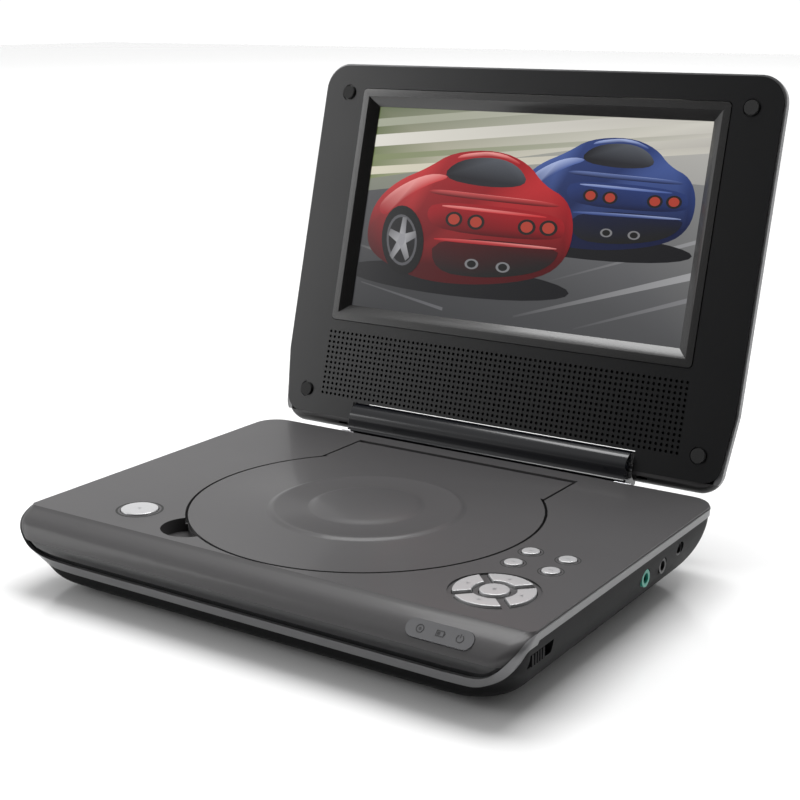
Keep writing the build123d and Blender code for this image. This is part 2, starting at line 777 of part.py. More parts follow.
# ---------------------------------------------------------------- keys that travel
def round_key(x, y, r):
    with BuildPart() as cap:
        with BuildSketch(Plane.XY.offset(deck_z - cap_foot)):
            with Locations((x, y)):
                Circle(r + 0.9)
        extrude(amount=flange)
        with BuildSketch(Plane.XY.offset(deck_z - cap_foot + flange)):
            with Locations((x, y)):
                Circle(r)
        extrude(amount=deck_t + cap_gap + cap_proud)
        fillet(cap.edges().group_by(Axis.Z)[-1], 0.35)
    return cap.part


with BuildPart() as key_a:
    add(round_key(key_x[0], key_y[0], key_r))
key_a.part.label = "key_a"
export_step(key_a.part, "parts/key_a.step")

with BuildPart() as key_b:
    add(round_key(key_x[0], key_y[1], key_r))
key_b.part.label = "key_b"
export_step(key_b.part, "parts/key_b.step")

with BuildPart() as key_c:
    add(round_key(key_x[1], key_y[0], key_r))
key_c.part.label = "key_c"
export_step(key_c.part, "parts/key_c.step")

with BuildPart() as key_d:
    add(round_key(key_x[1], key_y[1], key_r))
key_d.part.label = "key_d"
export_step(key_d.part, "parts/key_d.step")

with BuildPart() as enter_key:
    add(round_key(nav_x, nav_y, enter_r))
enter_key.part.label = "enter_key"
export_step(enter_key.part, "parts/enter_key.step")


def arc_key(turn):
    c = math.cos(math.radians(turn))
    n = math.sin(math.radians(turn))
    far = 20
    with BuildSketch() as wedge:
        with BuildLine():
            Polyline((0, 0), (far * (c + n), far * (n - c)), (far * (c - n), far * (n + c)),
                     (0, 0))
        make_face()
    with BuildPart() as cap:
        with BuildSketch(Plane.XY.offset(deck_z - cap_foot + flange)):
            with Locations((nav_x, nav_y)):
                add(nav_arcs(0))
                add(wedge.sketch, mode=Mode.INTERSECT)
        extrude(amount=deck_t + cap_gap + cap_proud - 0.1)
        fillet(cap.edges().group_by(Axis.Z)[-1], 0.3)
        reach = nav_mid + 0.6
        with BuildSketch(Plane.XY.offset(deck_z - cap_foot)):
            with Locations(Location((nav_x + reach * c, nav_y + reach * n), turn)):
                Rectangle(arc_out - arc_in - 1, 11)
        extrude(amount=flange)
    return cap.part


with BuildPart() as nav_right:
    add(arc_key(0))
nav_right.part.label = "nav_right"
export_step(nav_right.part, "parts/nav_right.step")

with BuildPart() as nav_up:
    add(arc_key(90))
nav_up.part.label = "nav_up"
export_step(nav_up.part, "parts/nav_up.step")

with BuildPart() as nav_left:
    add(arc_key(180))
nav_left.part.label = "nav_left"
export_step(nav_left.part, "parts/nav_left.step")

with BuildPart() as nav_down:
    add(arc_key(270))
nav_down.part.label = "nav_down"
export_step(nav_down.part, "parts/nav_down.step")

with BuildPart() as open_button:
    with BuildSketch(Plane.XY.offset(deck_z - cap_foot - 0.4)):
        with Locations((open_x, open_y)):
            Circle(open_r + 1)
    extrude(amount=flange + 0.4)
    with BuildSketch(Plane.XY.offset(deck_z - cap_foot + flange)):
        with Locations((open_x, open_y)):
            Circle(open_r)
    extrude(amount=deck_t + cap_gap + cap_proud)
    fillet(open_button.edges().group_by(Axis.Z)[-1], 0.4)
    with BuildSketch(Plane.XY.offset(deck_z - 7.5)):
        with Locations((open_x, open_y)):
            Circle(2)
    extrude(amount=7.5 - cap_foot)
open_button.part.label = "open_button"
export_step(open_button.part, "parts/open_button.step")

with BuildPart() as power_switch:
    with BuildSketch(Plane.YZ.offset(base_hw - 7.5)):
        with Locations((switch_y - 2, deck_z - switch_drop)):
            Rectangle(3.6, 2)
    extrude(amount=4.2)
    with BuildSketch(Plane.YZ.offset(base_hw - 3.3)):
        with Locations((switch_y - 2, deck_z - switch_drop)):
            Rectangle(8, switch_h - 0.7)
    extrude(amount=2.9)
    with BuildSketch(Plane.YZ.offset(base_hw - 0.9)):
        with Locations((switch_y - 2, deck_z - switch_drop)):
            with GridLocations(1.6, 1, 4, 1):
                Rectangle(0.7, switch_h)
    extrude(amount=1, mode=Mode.SUBTRACT)
power_switch.part.label = "power_switch"
export_step(power_switch.part, "parts/power_switch.step")

# ---------------------------------------------------------------- disc door
with BuildPart() as disc_door:
    with BuildSketch(Plane.XY.offset(deck_z - door_t)):
        with Locations((0, door_cy)):
            Circle(door_r)
        with Locations((0, mid_y + 55.5)):
            Rectangle(2 * tail_hw, 23)
    extrude(amount=door_t)
    with BuildSketch(Plane.YZ):
        with Locations((door_axis_y, deck_z - bead_r)):
            Circle(bead_r)
    extrude(amount=tail_hw, both=True)
    with BuildSketch(Plane.YZ):
        with Locations((door_axis_y, deck_z - bead_r)):
            Circle(pin_r)
    extrude(amount=tail_hw + 4, both=True)
    # two raised steps pressed up in the middle of the door
    with BuildSketch(Plane.XZ.offset(-door_cy)):
        with BuildLine():
            Polyline((0, deck_z - 0.5), (step_r, deck_z - 0.5), (step_r, deck_z),
                     (step_r - 2, deck_z + step_h), (hub_top_r + 3.9, deck_z + step_h),
                     (hub_top_r, deck_z + hub_top_h), (0, deck_z + hub_top_h),
                     (0, deck_z - 0.5))
        make_face()
    revolve(axis=Axis((0, door_cy, 0), (0, 0, 1)))
    with BuildSketch(Plane.XY.offset(deck_z - door_t - 1.2)):
        with Locations((0, door_cy)):
            Circle(54.4)
            Circle(53, mode=Mode.SUBTRACT)
            Circle(24)
            Circle(22.6, mode=Mode.SUBTRACT)
    extrude(amount=1.2)
disc_door.part.label = "disc_door"
export_step(disc_door.part, "parts/disc_door.step")

with BuildPart() as door_catch:
    with BuildSketch(Plane.XY.offset(deck_z - 6.5)):
        with Locations((-48, door_cy - 33)):
            Rectangle(2, 6)
    extrude(amount=6.5 - door_t)
    with BuildSketch(Plane.XY.offset(deck_z - 6.5)):
        with Locations((-48.6, door_cy - 33)):
            Rectangle(2.4, 6)
    extrude(amount=1.2)
door_catch.part.label = "door_catch"
export_step(door_catch.part, "parts/door_catch.step")


# ---------------------------------------------------------------- lid
def lid_loop(w, hw, low, v0, v1, r0, r1):
    k = math.sqrt(0.5)
    bend = 30.0
    with BuildSketch(lid_plane.offset(w)) as sk:
        with BuildLine():
            Line((-low + r0, v0), (low - r0, v0))
            ThreePointArc((low - r0, v0), (low - r0 + r0 * k, v0 + r0 - r0 * k),
                          (low, v0 + r0))
            Line((low, v0 + r0), (hw, bend))
            Line((hw, bend), (hw, v1 - r1))
            ThreePointArc((hw, v1 - r1), (hw - r1 + r1 * k, v1 - r1 + r1 * k), (hw - r1, v1))
            Line((hw - r1, v1), (-hw + r1, v1))
            ThreePointArc((-hw + r1, v1), (-hw + r1 - r1 * k, v1 - r1 + r1 * k),
                          (-hw, v1 - r1))
            Line((-hw, v1 - r1), (-hw, bend))
            Line((-hw, bend), (-low, v0 + r0))
            ThreePointArc((-low, v0 + r0), (-low + r0 - r0 * k, v0 + r0 - r0 * k),
                          (-low + r0, v0))
        make_face()
    return sk.sketch


def lid_body(inset, depths, low_v):
    depth = depths[-1]
    with BuildPart() as body:
        for w in depths:
            t = min(1.0, max(0.0, (w - seam_low) / (depth - seam_low)))
            s = 1 - math.sqrt(1 - t * t)
            roll = 4 * (1 - math.sqrt(max(0.0, 1 - (max(0.0, 4 - w) / 4) ** 2)))
            add(lid_loop(-w, lid_hw - inset - 15 * s, lid_hw_low - inset - 15 * s,
                         low_v + inset + roll + 9 * s, lid_top - inset - 14 * s, 9, 11))
        loft(ruled=True)
    return body.part


lid_outer = lid_body(0, (0.2, 1, 2, 3.3, 5, 7, 9, 11, 12.4, lid_depth), lid_low)
lid_inner = lid_body(wall, (-2, 0, 1.2, 3.3, 5, 7, 9, 10.3, lid_depth - 2), lid_low)


def lid_box(u0, u1, v0, v1, w0, w1):
    with BuildPart() as body:
        with BuildSketch(lid_plane.offset(-w1)):
            with Locations(((u0 + u1) / 2, (v0 + v1) / 2)):
                Rectangle(u1 - u0, v1 - v0)
        extrude(amount=w1 - w0)
    return body.part


notch_cut = lid_box(-notch_hw, notch_hw, -20, notch_v, -5, 30)
notch_wall = lid_box(-notch_hw - 2, notch_hw + 2, -20, notch_v + 2, -5, 30)

with BuildPart() as lid_front_zone:
    with BuildSketch(lid_plane.offset(-seam_low)):
        with Locations((0, 100 + lip_v)):
            Rectangle(260, 200)
    extrude(amount=10)

speaker_v = grille_v
cone_r = 12.0
bump_u = 92.2
bump_v = (13.2, 145.0)
bump_r = 2.8
bump_proud = 1.05

with BuildPart() as lid_bezel:
    extrude(lid_loop(-seam_top, lid_hw - 0.5, lid_hw_low - 0.5, lip_v, lid_top - 0.5,
                     7, 10.5), amount=seam_top)
    extrude(lid_loop(-lid_core_t, lid_hw - core_in, lid_hw_low - core_in, lip_v + 2,
                     lid_top - core_in, 6, 8), amount=lid_core_t)
    with BuildSketch(lid_plane.offset(-4)):
        with Locations((0, screen_v)):
            RectangleRounded(frame_w + 0.6, frame_h + 0.6, 2)
    extrude(amount=8, mode=Mode.SUBTRACT)
    add(notch_cut, mode=Mode.SUBTRACT)
    # pierced holes of the grille in front of the speakers
    with BuildSketch(lid_plane.offset(-4)):
        for s in (-1, 1):
            for i in range(-7, 8):
                for j in range(-6, 7):
                    if math.hypot(i * hole_pitch, j * hole_pitch) < cone_r - 0.2:
                        with Locations((s * 25 * hole_pitch + i * hole_pitch,
                                        speaker_v + j * hole_pitch)):
                            Circle(hole_r)
    extrude(amount=8, mode=Mode.SUBTRACT)
    # seats of the bumpers
    with BuildSketch(lid_plane.offset(-0.6)):
        for v in bump_v:
            with Locations((-bump_u, v), (bump_u, v)):
                Circle(bump_r + 0.7)
    extrude(amount=2, mode=Mode.SUBTRACT)
    # clearance round the turning ends of the hinge shafts
    with BuildSketch(Plane.YZ):
        with Locations((hinge_y, hinge_z)):
            Circle(shaft_r + 0.4)
    extrude(amount=barrel_hw + 9, both=True, mode=Mode.SUBTRACT)
    # relief behind the lower edge for the hinge arms
    add(lid_box(68, 73, 0, 8, 0.5, 6), mode=Mode.SUBTRACT)
    add(lid_box(-73, -68, 0, 8, 0.5, 6), mode=Mode.SUBTRACT)
lid_bezel.part.label = "lid_bezel"
export_step(lid_bezel.part, "parts/lid_bezel.step")

with BuildPart() as lid_trim_band:
    extrude(lid_loop(-seam_low, lid_hw + 0.3, lid_hw_low + 0.3, lid_low, lid_top + 0.3,
                     9, 11), amount=seam_low - seam_top)
    extrude(lid_loop(-6, lid_hw - core_in, lid_hw_low - core_in, lip_v - 4,
                     lid_top - core_in, 6, 8), amount=8, mode=Mode.SUBTRACT)
    add(lid_front_zone.part, mode=Mode.INTERSECT)
    add(notch_cut, mode=Mode.SUBTRACT)
lid_trim_band.part.label = "lid_trim_band"
export_step(lid_trim_band.part, "parts/lid_trim_band.step")

v_axis = (hinge_y - lid_foot_y) * -math.cos(lid_t) + (hinge_z - deck_z) * math.sin(lid_t)
w_axis = (hinge_y - lid_foot_y) * math.sin(lid_t) + (hinge_z - deck_z) * math.cos(lid_t)
lid_screw_uv = ((-85.5, 34), (85.5, 34), (-85.5, 128), (85.5, 128))
boss_top = 3.0

with BuildPart() as lid_hollow:
    add(lid_inner)
    add(notch_wall, mode=Mode.SUBTRACT)

with BuildPart() as lid_back_shell:
    add(lid_outer)
    add(lid_hollow.part, mode=Mode.SUBTRACT)
    add(lid_front_zone.part, mode=Mode.SUBTRACT)
    add(notch_cut, mode=Mode.SUBTRACT)
    add(lid_box(68.4, 73, 0.6, 12, 0.4, 6), mode=Mode.SUBTRACT)
    add(lid_box(-73, -68.4, 0.6, 12, 0.4, 6), mode=Mode.SUBTRACT)
    with BuildSketch(Plane.YZ):
        with Locations((hinge_y, hinge_z)):
            Circle(shaft_r + 0.3)
    extrude(amount=75, both=True, mode=Mode.SUBTRACT)
    with BuildSketch(lid_plane.offset(-lid_depth + 1)):
        with Locations(*lid_screw_uv):
            Circle(3.4)
    extrude(amount=lid_depth - 1 - boss_top)
    with BuildSketch(lid_plane.offset(-lid_depth - 1)):
        with Locations(*lid_screw_uv):
            Circle(2.4)
    extrude(amount=3, mode=Mode.SUBTRACT)
    with BuildSketch(lid_plane.offset(-lid_depth - 1)):
        with Locations(*lid_screw_uv):
            Circle(1.3)
    extrude(amount=12, mode=Mode.SUBTRACT)
lid_back_shell.part.label = "lid_back_shell"
export_step(lid_back_shell.part, "parts/lid_back_shell.step")

with BuildPart() as lid_screws:
    with BuildSketch(lid_plane.offset(-lid_depth + 0.2)):
        with Locations(*lid_screw_uv):
            Circle(2.2)
    extrude(amount=1.8)
    with BuildSketch(lid_plane.offset(-lid_depth + 2)):
        with Locations(*lid_screw_uv):
            Circle(1.2)
    extrude(amount=6)
    with BuildSketch(lid_plane.offset(-lid_depth + 0.2)):
        with Locations(*lid_screw_uv):
            Rectangle(2.8, 0.5)
            Rectangle(0.5, 2.8)
    extrude(amount=0.7, mode=Mode.SUBTRACT)
lid_screws.part.label = "lid_screws"
export_step(lid_screws.part, "parts/lid_screws.step")

with BuildPart() as lid_hinge_arms:
    for s in (-1, 1):
        with BuildSketch(Plane.YZ.offset(s * 69.0)):
            with Locations((hinge_y, hinge_z)):
                Circle(eye_r)
        extrude(amount=s * 3)
        side = sorted((s * 69.0, s * 72.0))
        add(lid_box(side[0], side[1], v_axis, 11.6, lid_core_t, w_axis + 1.6))
    with BuildSketch(Plane.YZ):
        with Locations((hinge_y, hinge_z)):
            Circle(shaft_r + run_fit)
    extrude(amount=80, both=True, mode=Mode.SUBTRACT)
lid_hinge_arms.part.label = "lid_hinge_arms"
export_step(lid_hinge_arms.part, "parts/lid_hinge_arms.step")

ridge_out = 0.35
with BuildPart() as screen_frame:
    with BuildSketch(lid_plane.offset(-3.4)):
        with Locations((0, screen_v)):
            RectangleRounded(frame_w, frame_h, 1.8)
            Rectangle(screen_w, screen_h, mode=Mode.SUBTRACT)
    extrude(amount=3.4 + ridge_out)
    with BuildSketch(lid_plane.offset(ridge_out)):
        with Locations((0, screen_v)):
            Rectangle(162.6, 95.2)
    with BuildSketch(lid_plane.offset(-2.9)):
        with Locations((0, screen_v)):
            Rectangle(screen_w, screen_h)
    loft(mode=Mode.SUBTRACT)
screen_frame.part.label = "screen_frame"
export_step(screen_frame.part, "parts/screen_frame.step")

with BuildPart() as lcd_panel:
    with BuildSketch(lid_plane.offset(-5.2)):
        with Locations((0, screen_v)):
            Rectangle(screen_w + 6, screen_h + 6)
    extrude(amount=1.8)
lcd_panel.part.label = "lcd_panel"
export_step(lcd_panel.part, "parts/lcd_panel.step")

with BuildPart() as lcd_can:
    with BuildSketch(lid_plane.offset(-8.4)):
        with Locations((0, screen_v)):
            RectangleRounded(screen_w + 8, screen_h + 8, 1)
    extrude(amount=3.2)
lcd_can.part.label = "lcd_can"
export_step(lcd_can.part, "parts/lcd_can.step")

with BuildPart() as lid_board:
    with BuildSketch(lid_plane.offset(-6.4)):
        with Locations((0, 30)):
            Rectangle(70, 30)
    extrude(amount=1.4)
    with BuildSketch(lid_plane.offset(-5.0)):
        with Locations((-20, 30)):
            Rectangle(12, 9)
        with Locations((18, 26)):
            Rectangle(20, 6)
    extrude(amount=1.4)
lid_board.part.label = "lid_board"
export_step(lid_board.part, "parts/lid_board.step")

spk_u = 25 * hole_pitch
with BuildPart() as speaker_frames:
    with BuildSketch(lid_plane.offset(-lid_core_t - 1.2)):
        with Locations((-spk_u, speaker_v), (spk_u, speaker_v)):
            RectangleRounded(25.4, 26.4, 3)
            Circle(cone_r, mode=Mode.SUBTRACT)
    extrude(amount=1.2)
    with BuildSketch(lid_plane.offset(-lid_core_t - 3.4)):
        with Locations((-spk_u, speaker_v), (spk_u, speaker_v)):
            Circle(cone_r + 1.2)
            Circle(cone_r, mode=Mode.SUBTRACT)
    extrude(amount=2.2)
    with BuildSketch(lid_plane.offset(-lid_core_t - 4.4)):
        with Locations((-spk_u, speaker_v), (spk_u, speaker_v)):
            Circle(cone_r + 1.2)
    extrude(amount=1)
speaker_frames.part.label = "speaker_frames"
export_step(speaker_frames.part, "parts/speaker_frames.step")

with BuildPart() as speaker_cones:
    for s in (-1, 1):
        with BuildSketch(lid_plane.offset(-lid_core_t - 3.4)):
            with Locations((s * spk_u, speaker_v)):
                Circle(cone_r - 1)
        extrude(amount=1.6)
        with BuildSketch(lid_plane.offset(-lid_core_t - 1.8)):
            with Locations((s * spk_u, speaker_v)):
                Circle(5)
        extrude(amount=0.8)
speaker_cones.part.label = "speaker_cones"
export_step(speaker_cones.part, "parts/speaker_cones.step")

with BuildPart() as speaker_magnets:
    with BuildSketch(lid_plane.offset(-lid_core_t - 7.6)):
        with Locations((-spk_u, speaker_v), (spk_u, speaker_v)):
            Circle(7.5)
    extrude(amount=3.2)
speaker_magnets.part.label = "speaker_magnets"
export_step(speaker_magnets.part, "parts/speaker_magnets.step")

with BuildPart() as lid_bumpers:
    for v in bump_v:
        with BuildSketch(lid_plane.offset(-0.6)):
            with Locations((-bump_u, v), (bump_u, v)):
                Circle(bump_r)
        extrude(amount=0.6 + bump_proud)
lid_bumpers.part.label = "lid_bumpers"
export_step(lid_bumpers.part, "parts/lid_bumpers.step")
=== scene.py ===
import bpy, bmesh, math
from mathutils import Matrix, Vector


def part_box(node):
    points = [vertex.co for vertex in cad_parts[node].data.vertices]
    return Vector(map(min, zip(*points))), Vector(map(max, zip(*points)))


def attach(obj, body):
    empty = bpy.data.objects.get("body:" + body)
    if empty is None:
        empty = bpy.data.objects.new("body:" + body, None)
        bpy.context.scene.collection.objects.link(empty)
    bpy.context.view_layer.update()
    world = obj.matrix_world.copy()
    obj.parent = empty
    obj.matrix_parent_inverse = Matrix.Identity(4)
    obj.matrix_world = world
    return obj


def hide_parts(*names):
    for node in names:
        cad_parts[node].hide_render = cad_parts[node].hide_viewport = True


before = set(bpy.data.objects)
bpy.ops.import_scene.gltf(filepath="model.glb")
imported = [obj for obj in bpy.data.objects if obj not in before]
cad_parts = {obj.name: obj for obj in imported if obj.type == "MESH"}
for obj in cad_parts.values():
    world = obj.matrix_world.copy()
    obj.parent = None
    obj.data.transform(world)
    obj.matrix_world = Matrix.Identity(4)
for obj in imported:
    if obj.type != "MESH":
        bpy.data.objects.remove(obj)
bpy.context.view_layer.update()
mm = 0.001

# ---------------------------------------------------------------------------
# Top cover of the base: one moulded ABS tray lid, sprayed satin charcoal. The
# door opening, finger pocket and key dish are moulded in, and its front rolls
# over into the nose. Everything sprayed the same grey shares its finish, and
# that finish darkens faces that look down towards near-black as painted shade.
satin_grey = (0.076, 0.074, 0.075, 1)
deck_shade = (0.066, 0.064, 0.066, 1)


def link(tree, a, out, b, into):
    """Joins an output of one node to an input of another."""
    tree.links.new(a.outputs[out], b.inputs[into])


def moulded_skin():
    """Fine spark-eroded texture, cloudy gloss and a faint colour drift."""
    g = bpy.data.node_groups.new("moulded_skin", "ShaderNodeTree")
    for name, kind, value in (("Colour", "NodeSocketColor", (0.1, 0.1, 0.1, 1)),
                              ("Drift Colour", "NodeSocketColor", (0.08, 0.08, 0.08, 1)),
                              ("Gloss", "NodeSocketFloat", 0.4),
                              ("Gloss Drift", "NodeSocketFloat", 0.06),
                              ("Grain Scale", "NodeSocketFloat", 2600.0),
                              ("Grain Depth", "NodeSocketFloat", 0.1)):
        s = g.interface.new_socket(name, in_out="INPUT", socket_type=kind)
        s.default_value = value
    g.interface.new_socket("Colour", in_out="OUTPUT", socket_type="NodeSocketColor")
    g.interface.new_socket("Roughness", in_out="OUTPUT", socket_type="NodeSocketFloat")
    g.interface.new_socket("Normal", in_out="OUTPUT", socket_type="NodeSocketVector")
    n = g.nodes
    inp, out = n.new("NodeGroupInput"), n.new("NodeGroupOutput")
    place = n.new("ShaderNodeTexCoord")
    cloud = n.new("ShaderNodeTexNoise")
    cloud.inputs["Scale"].default_value = 22
    cloud.inputs["Detail"].default_value = 4
    link(g, place, "Object", cloud, "Vector")
    mix = n.new("ShaderNodeMix")
    mix.data_type = "RGBA"
    link(g, cloud, "Fac", mix, 0)
    g.links.new(inp.outputs["Colour"], mix.inputs[6])
    g.links.new(inp.outputs["Drift Colour"], mix.inputs[7])
    g.links.new(mix.outputs[2], out.inputs["Colour"])
    half = n.new("ShaderNodeMath")
    half.operation = "SUBTRACT"
    half.inputs[1].default_value = 0.5
    g.links.new(cloud.outputs["Fac"], half.inputs[0])
    span = n.new("ShaderNodeMath")
    span.operation = "MULTIPLY_ADD"
    g.links.new(half.outputs[0], span.inputs[0])
    g.links.new(inp.outputs["Gloss Drift"], span.inputs[1])
    g.links.new(inp.outputs["Gloss"], span.inputs[2])
    g.links.new(span.outputs[0], out.inputs["Roughness"])
    grain = n.new("ShaderNodeTexNoise")
    grain.inputs["Detail"].default_value = 2
    link(g, place, "Object", grain, "Vector")
    g.links.new(inp.outputs["Grain Scale"], grain.inputs["Scale"])
    bump = n.new("ShaderNodeBump")
    bump.inputs["Distance"].default_value = 0.00005
    g.links.new(inp.outputs["Grain Depth"], bump.inputs["Strength"])
    g.links.new(grain.outputs["Fac"], bump.inputs["Height"])
    g.links.new(bump.outputs["Normal"], out.inputs["Normal"])
    return g


def painted_underside_shade():
    """Painted shade: the paint's grey on faces that look up, darkened towards near-black on faces
    whose world normal looks down.
    """
    g = bpy.data.node_groups.new("painted_underside_shade", "ShaderNodeTree")
    for name, kind, value in (("Paint", "NodeSocketColor", (0.1, 0.1, 0.1, 1)),
                              ("Painted Shade", "NodeSocketColor", (0.01, 0.01, 0.01, 1)),
                              ("Darkest Below", "NodeSocketFloat", -0.35), ("Unshaded From", "NodeSocketFloat", 0.12)):
        s = g.interface.new_socket(name, in_out="INPUT", socket_type=kind)
        s.default_value = value
    g.interface.new_socket("Colour", in_out="OUTPUT", socket_type="NodeSocketColor")
    n = g.nodes
    inp, out = n.new("NodeGroupInput"), n.new("NodeGroupOutput")
    shape, split = n.new("ShaderNodeNewGeometry"), n.new("ShaderNodeSeparateXYZ")
    cover = n.new("ShaderNodeMapRange")
    cover.interpolation_type = "SMOOTHSTEP"
    mix = n.new("ShaderNodeMix")
    mix.data_type = "RGBA"
    link(g, shape, "Normal", split, "Vector")
    link(g, split, "Z", cover, "Value")
    link(g, inp, "Darkest Below", cover, "From Min")
    link(g, inp, "Unshaded From", cover, "From Max")
    link(g, cover, "Result", mix, 0)
    link(g, inp, "Painted Shade", mix, 6)
    link(g, inp, "Paint", mix, 7)
    link(g, mix, 2, out, "Colour")
    return g


skin_group = moulded_skin()


def finish_of(name, colour, drift, gloss, gloss_drift=0.06, scale=2600.0, depth=0.1,
              metal=0.0, coat=0.0, coat_rough=0.1, specular=0.5):
    """A finish whose colour, gloss and grain come from the moulded skin."""
    m = bpy.data.materials.new(name)
    m.use_nodes = True
    t = m.node_tree
    b = t.nodes["Principled BSDF"]
    s = t.nodes.new("ShaderNodeGroup")
    s.node_tree = skin_group
    s.inputs["Colour"].default_value = colour
    s.inputs["Drift Colour"].default_value = drift
    s.inputs["Gloss"].default_value = gloss
    s.inputs["Gloss Drift"].default_value = gloss_drift
    s.inputs["Grain Scale"].default_value = scale
    s.inputs["Grain Depth"].default_value = depth
    link(t, s, "Colour", b, "Base Color")
    link(t, s, "Roughness", b, "Roughness")
    link(t, s, "Normal", b, "Normal")
    b.inputs["Metallic"].default_value = metal
    b.inputs["Coat Weight"].default_value = coat
    b.inputs["Coat Roughness"].default_value = coat_rough
    b.inputs["Specular IOR Level"].default_value = specular
    return m


def smooth_copy(node, body, finish, bevel=0.0, sharp=28.0, merge=1e-6):
    """A welded copy of a CAD node with smooth shading and softly broken edges."""
    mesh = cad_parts[node].data.copy()
    bm = bmesh.new()
    bm.from_mesh(mesh)
    bmesh.ops.remove_doubles(bm, verts=bm.verts, dist=merge)
    bmesh.ops.dissolve_degenerate(bm, edges=bm.edges, dist=merge)
    for f in bm.faces:
        f.smooth = True
        f.material_index = 0
    limit = math.radians(sharp)
    for e in bm.edges:
        e.smooth = not (len(e.link_faces) != 2 or e.calc_face_angle(0) > limit)
    bm.to_mesh(mesh)
    bm.free()
    mesh.materials.clear()
    mesh.materials.append(finish)
    piece = bpy.data.objects.new(node + "_skin", mesh)
    bpy.context.scene.collection.objects.link(piece)
    if bevel:
        b = piece.modifiers.new("broken_edges", "BEVEL")
        b.width = bevel
        b.segments = 2
        b.limit_method = "ANGLE"
        b.angle_limit = math.radians(40)
        b.harden_normals = True
    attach(piece, body)
    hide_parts(node)
    return piece


def refinish(node, finish):
    """Gives a CAD node another finish and leaves its shape alone."""
    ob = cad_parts[node]
    ob.data.materials.clear()
    ob.data.materials.append(finish)


deck_finish = finish_of("satin_charcoal_paint", satin_grey, deck_shade, 0.42, 0.05, 3200, 0.12,
                        coat=0.16, coat_rough=0.12, specular=0.22)
# Painted shade: faces of this finish that look down are darkened towards near-black.
underside_shade = deck_finish.node_tree.nodes.new("ShaderNodeGroup")
underside_shade.node_tree = painted_underside_shade()
skin = next(n for n in deck_finish.node_tree.nodes if n.type == "GROUP" and n != underside_shade)
link(deck_finish.node_tree, skin, "Colour", underside_shade, "Paint")
link(deck_finish.node_tree, underside_shade, "Colour", deck_finish.node_tree.nodes["Principled BSDF"],
     "Base Color")
smooth_copy("base_top_cover", "base", deck_finish, bevel=0.25 * mm)

# ---------------------------------------------------------------------------
# Front fascia: a polished black strip set back under the nose, whose black is
# painted shade for the dark under the nose's lip, and the bright piping that runs
# round the base between the cover and the lower shell.
# Painted shade: the glossy fascia is coloured black to stand in for the shade and dark reflection
# under the lip.
fascia_shade_black = finish_of("fascia_shade_black", (0.006, 0.006, 0.007, 1), (0.009, 0.009, 0.010, 1),
                        0.14, 0.03, 900, 0.02, coat=0.2, coat_rough=0.05, specular=0.35)
silver_paint = finish_of("dark_chrome_paint", (0.20, 0.20, 0.203, 1), (0.17, 0.17, 0.175, 1),
                         0.34, 0.05, 4000, 0.05, metal=0.3, coat=0.2, coat_rough=0.10,
                         specular=0.3)
smooth_copy("front_fascia", "base", fascia_shade_black)
smooth_copy("base_trim_band", "base", silver_paint, bevel=0.35 * mm)

# ---------------------------------------------------------------------------
# Lower shell of the base: black ABS with a fine spark texture, on four rubber
# feet, closed from below with four steel screws.
shell_black = finish_of("shell_black", (0.0035, 0.0035, 0.004, 1), (0.005, 0.005, 0.0055, 1),
                        0.5, 0.06, 2400, 0.25, specular=0.10)
rubber_black = finish_of("rubber_black", (0.012, 0.012, 0.012, 1), (0.018, 0.018, 0.018, 1),
                         0.75, 0.1, 1800, 0.4)
screw_steel = finish_of("screw_steel", (0.55, 0.55, 0.56, 1), (0.48, 0.48, 0.5, 1),
                        0.32, 0.08, 5000, 0.15, metal=1.0)
smooth_copy("base_bottom_shell", "base", shell_black, bevel=0.2 * mm)
smooth_copy("rubber_feet", "base", rubber_black, bevel=0.2 * mm)
smooth_copy("base_screws", "base", screw_steel, bevel=0.1 * mm)

# ---------------------------------------------------------------------------
# Hinge housing: a polished blue-black moulding across the neck of the base,
# with a steel stub shaft and a pressed steel clip at each end.
barrel_black = finish_of("barrel_black", (0.005, 0.0055, 0.008, 1), (0.007, 0.0075, 0.010, 1),
                         0.18, 0.04, 1200, 0.04, coat=0.3, coat_rough=0.08, specular=0.4)
smooth_copy("hinge_barrel", "base", barrel_black, bevel=0.2 * mm)
smooth_copy("hinge_shafts", "base", screw_steel, bevel=0.1 * mm)
smooth_copy("hinge_clips", "base", screw_steel, bevel=0.15 * mm)

# ---------------------------------------------------------------------------
# Lamp window: a smoked pill let into the nose, with three pale pictograms
# printed on its back and a small lamp behind each.
lamp_smoke = finish_of("smoked_window", (0.10, 0.10, 0.105, 1), (0.12, 0.12, 0.125, 1),
                       0.12, 0.04, 1500, 0.03, coat=0.5, coat_rough=0.04)
print_grey = finish_of("pictogram_grey", (0.02, 0.02, 0.022, 1), (0.03, 0.03, 0.03, 1),
                       0.4, 0.05, 3000, 0.1)
smooth_copy("lamp_window", "base", lamp_smoke, bevel=0.25 * mm)
refinish("lamps", print_grey)
window_mid = Vector((77.3, -102.7, 24.4)) * mm
print_lift = 0.32 * mm
lamp_face = (Matrix.Translation(window_mid) @ Matrix.Rotation(math.radians(45), 4, "X")
             @ Matrix.Translation((0, 0, print_lift)))


def new_piece(name, bm, finish, body, place=None, smooth=False):
    """Turns a finished bmesh into a piece that rides on a body."""
    if place is not None:
        bm.transform(place)
    mesh = bpy.data.meshes.new(name)
    for f in bm.faces:
        f.smooth = smooth
    bm.to_mesh(mesh)
    bm.free()
    mesh.materials.append(finish)
    piece = bpy.data.objects.new(name, mesh)
    bpy.context.scene.collection.objects.link(piece)
    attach(piece, body)
    return piece


def slab(bm, x, y, w, h, z, t, turn=0.0):
    """A thin raised bar of a pictogram."""
    m = (Matrix.Translation((x, y, z + t / 2)) @ Matrix.Rotation(math.radians(turn), 4, "Z")
         @ Matrix.Diagonal((w, h, t, 1)))
    bmesh.ops.create_cube(bm, size=1, matrix=m)


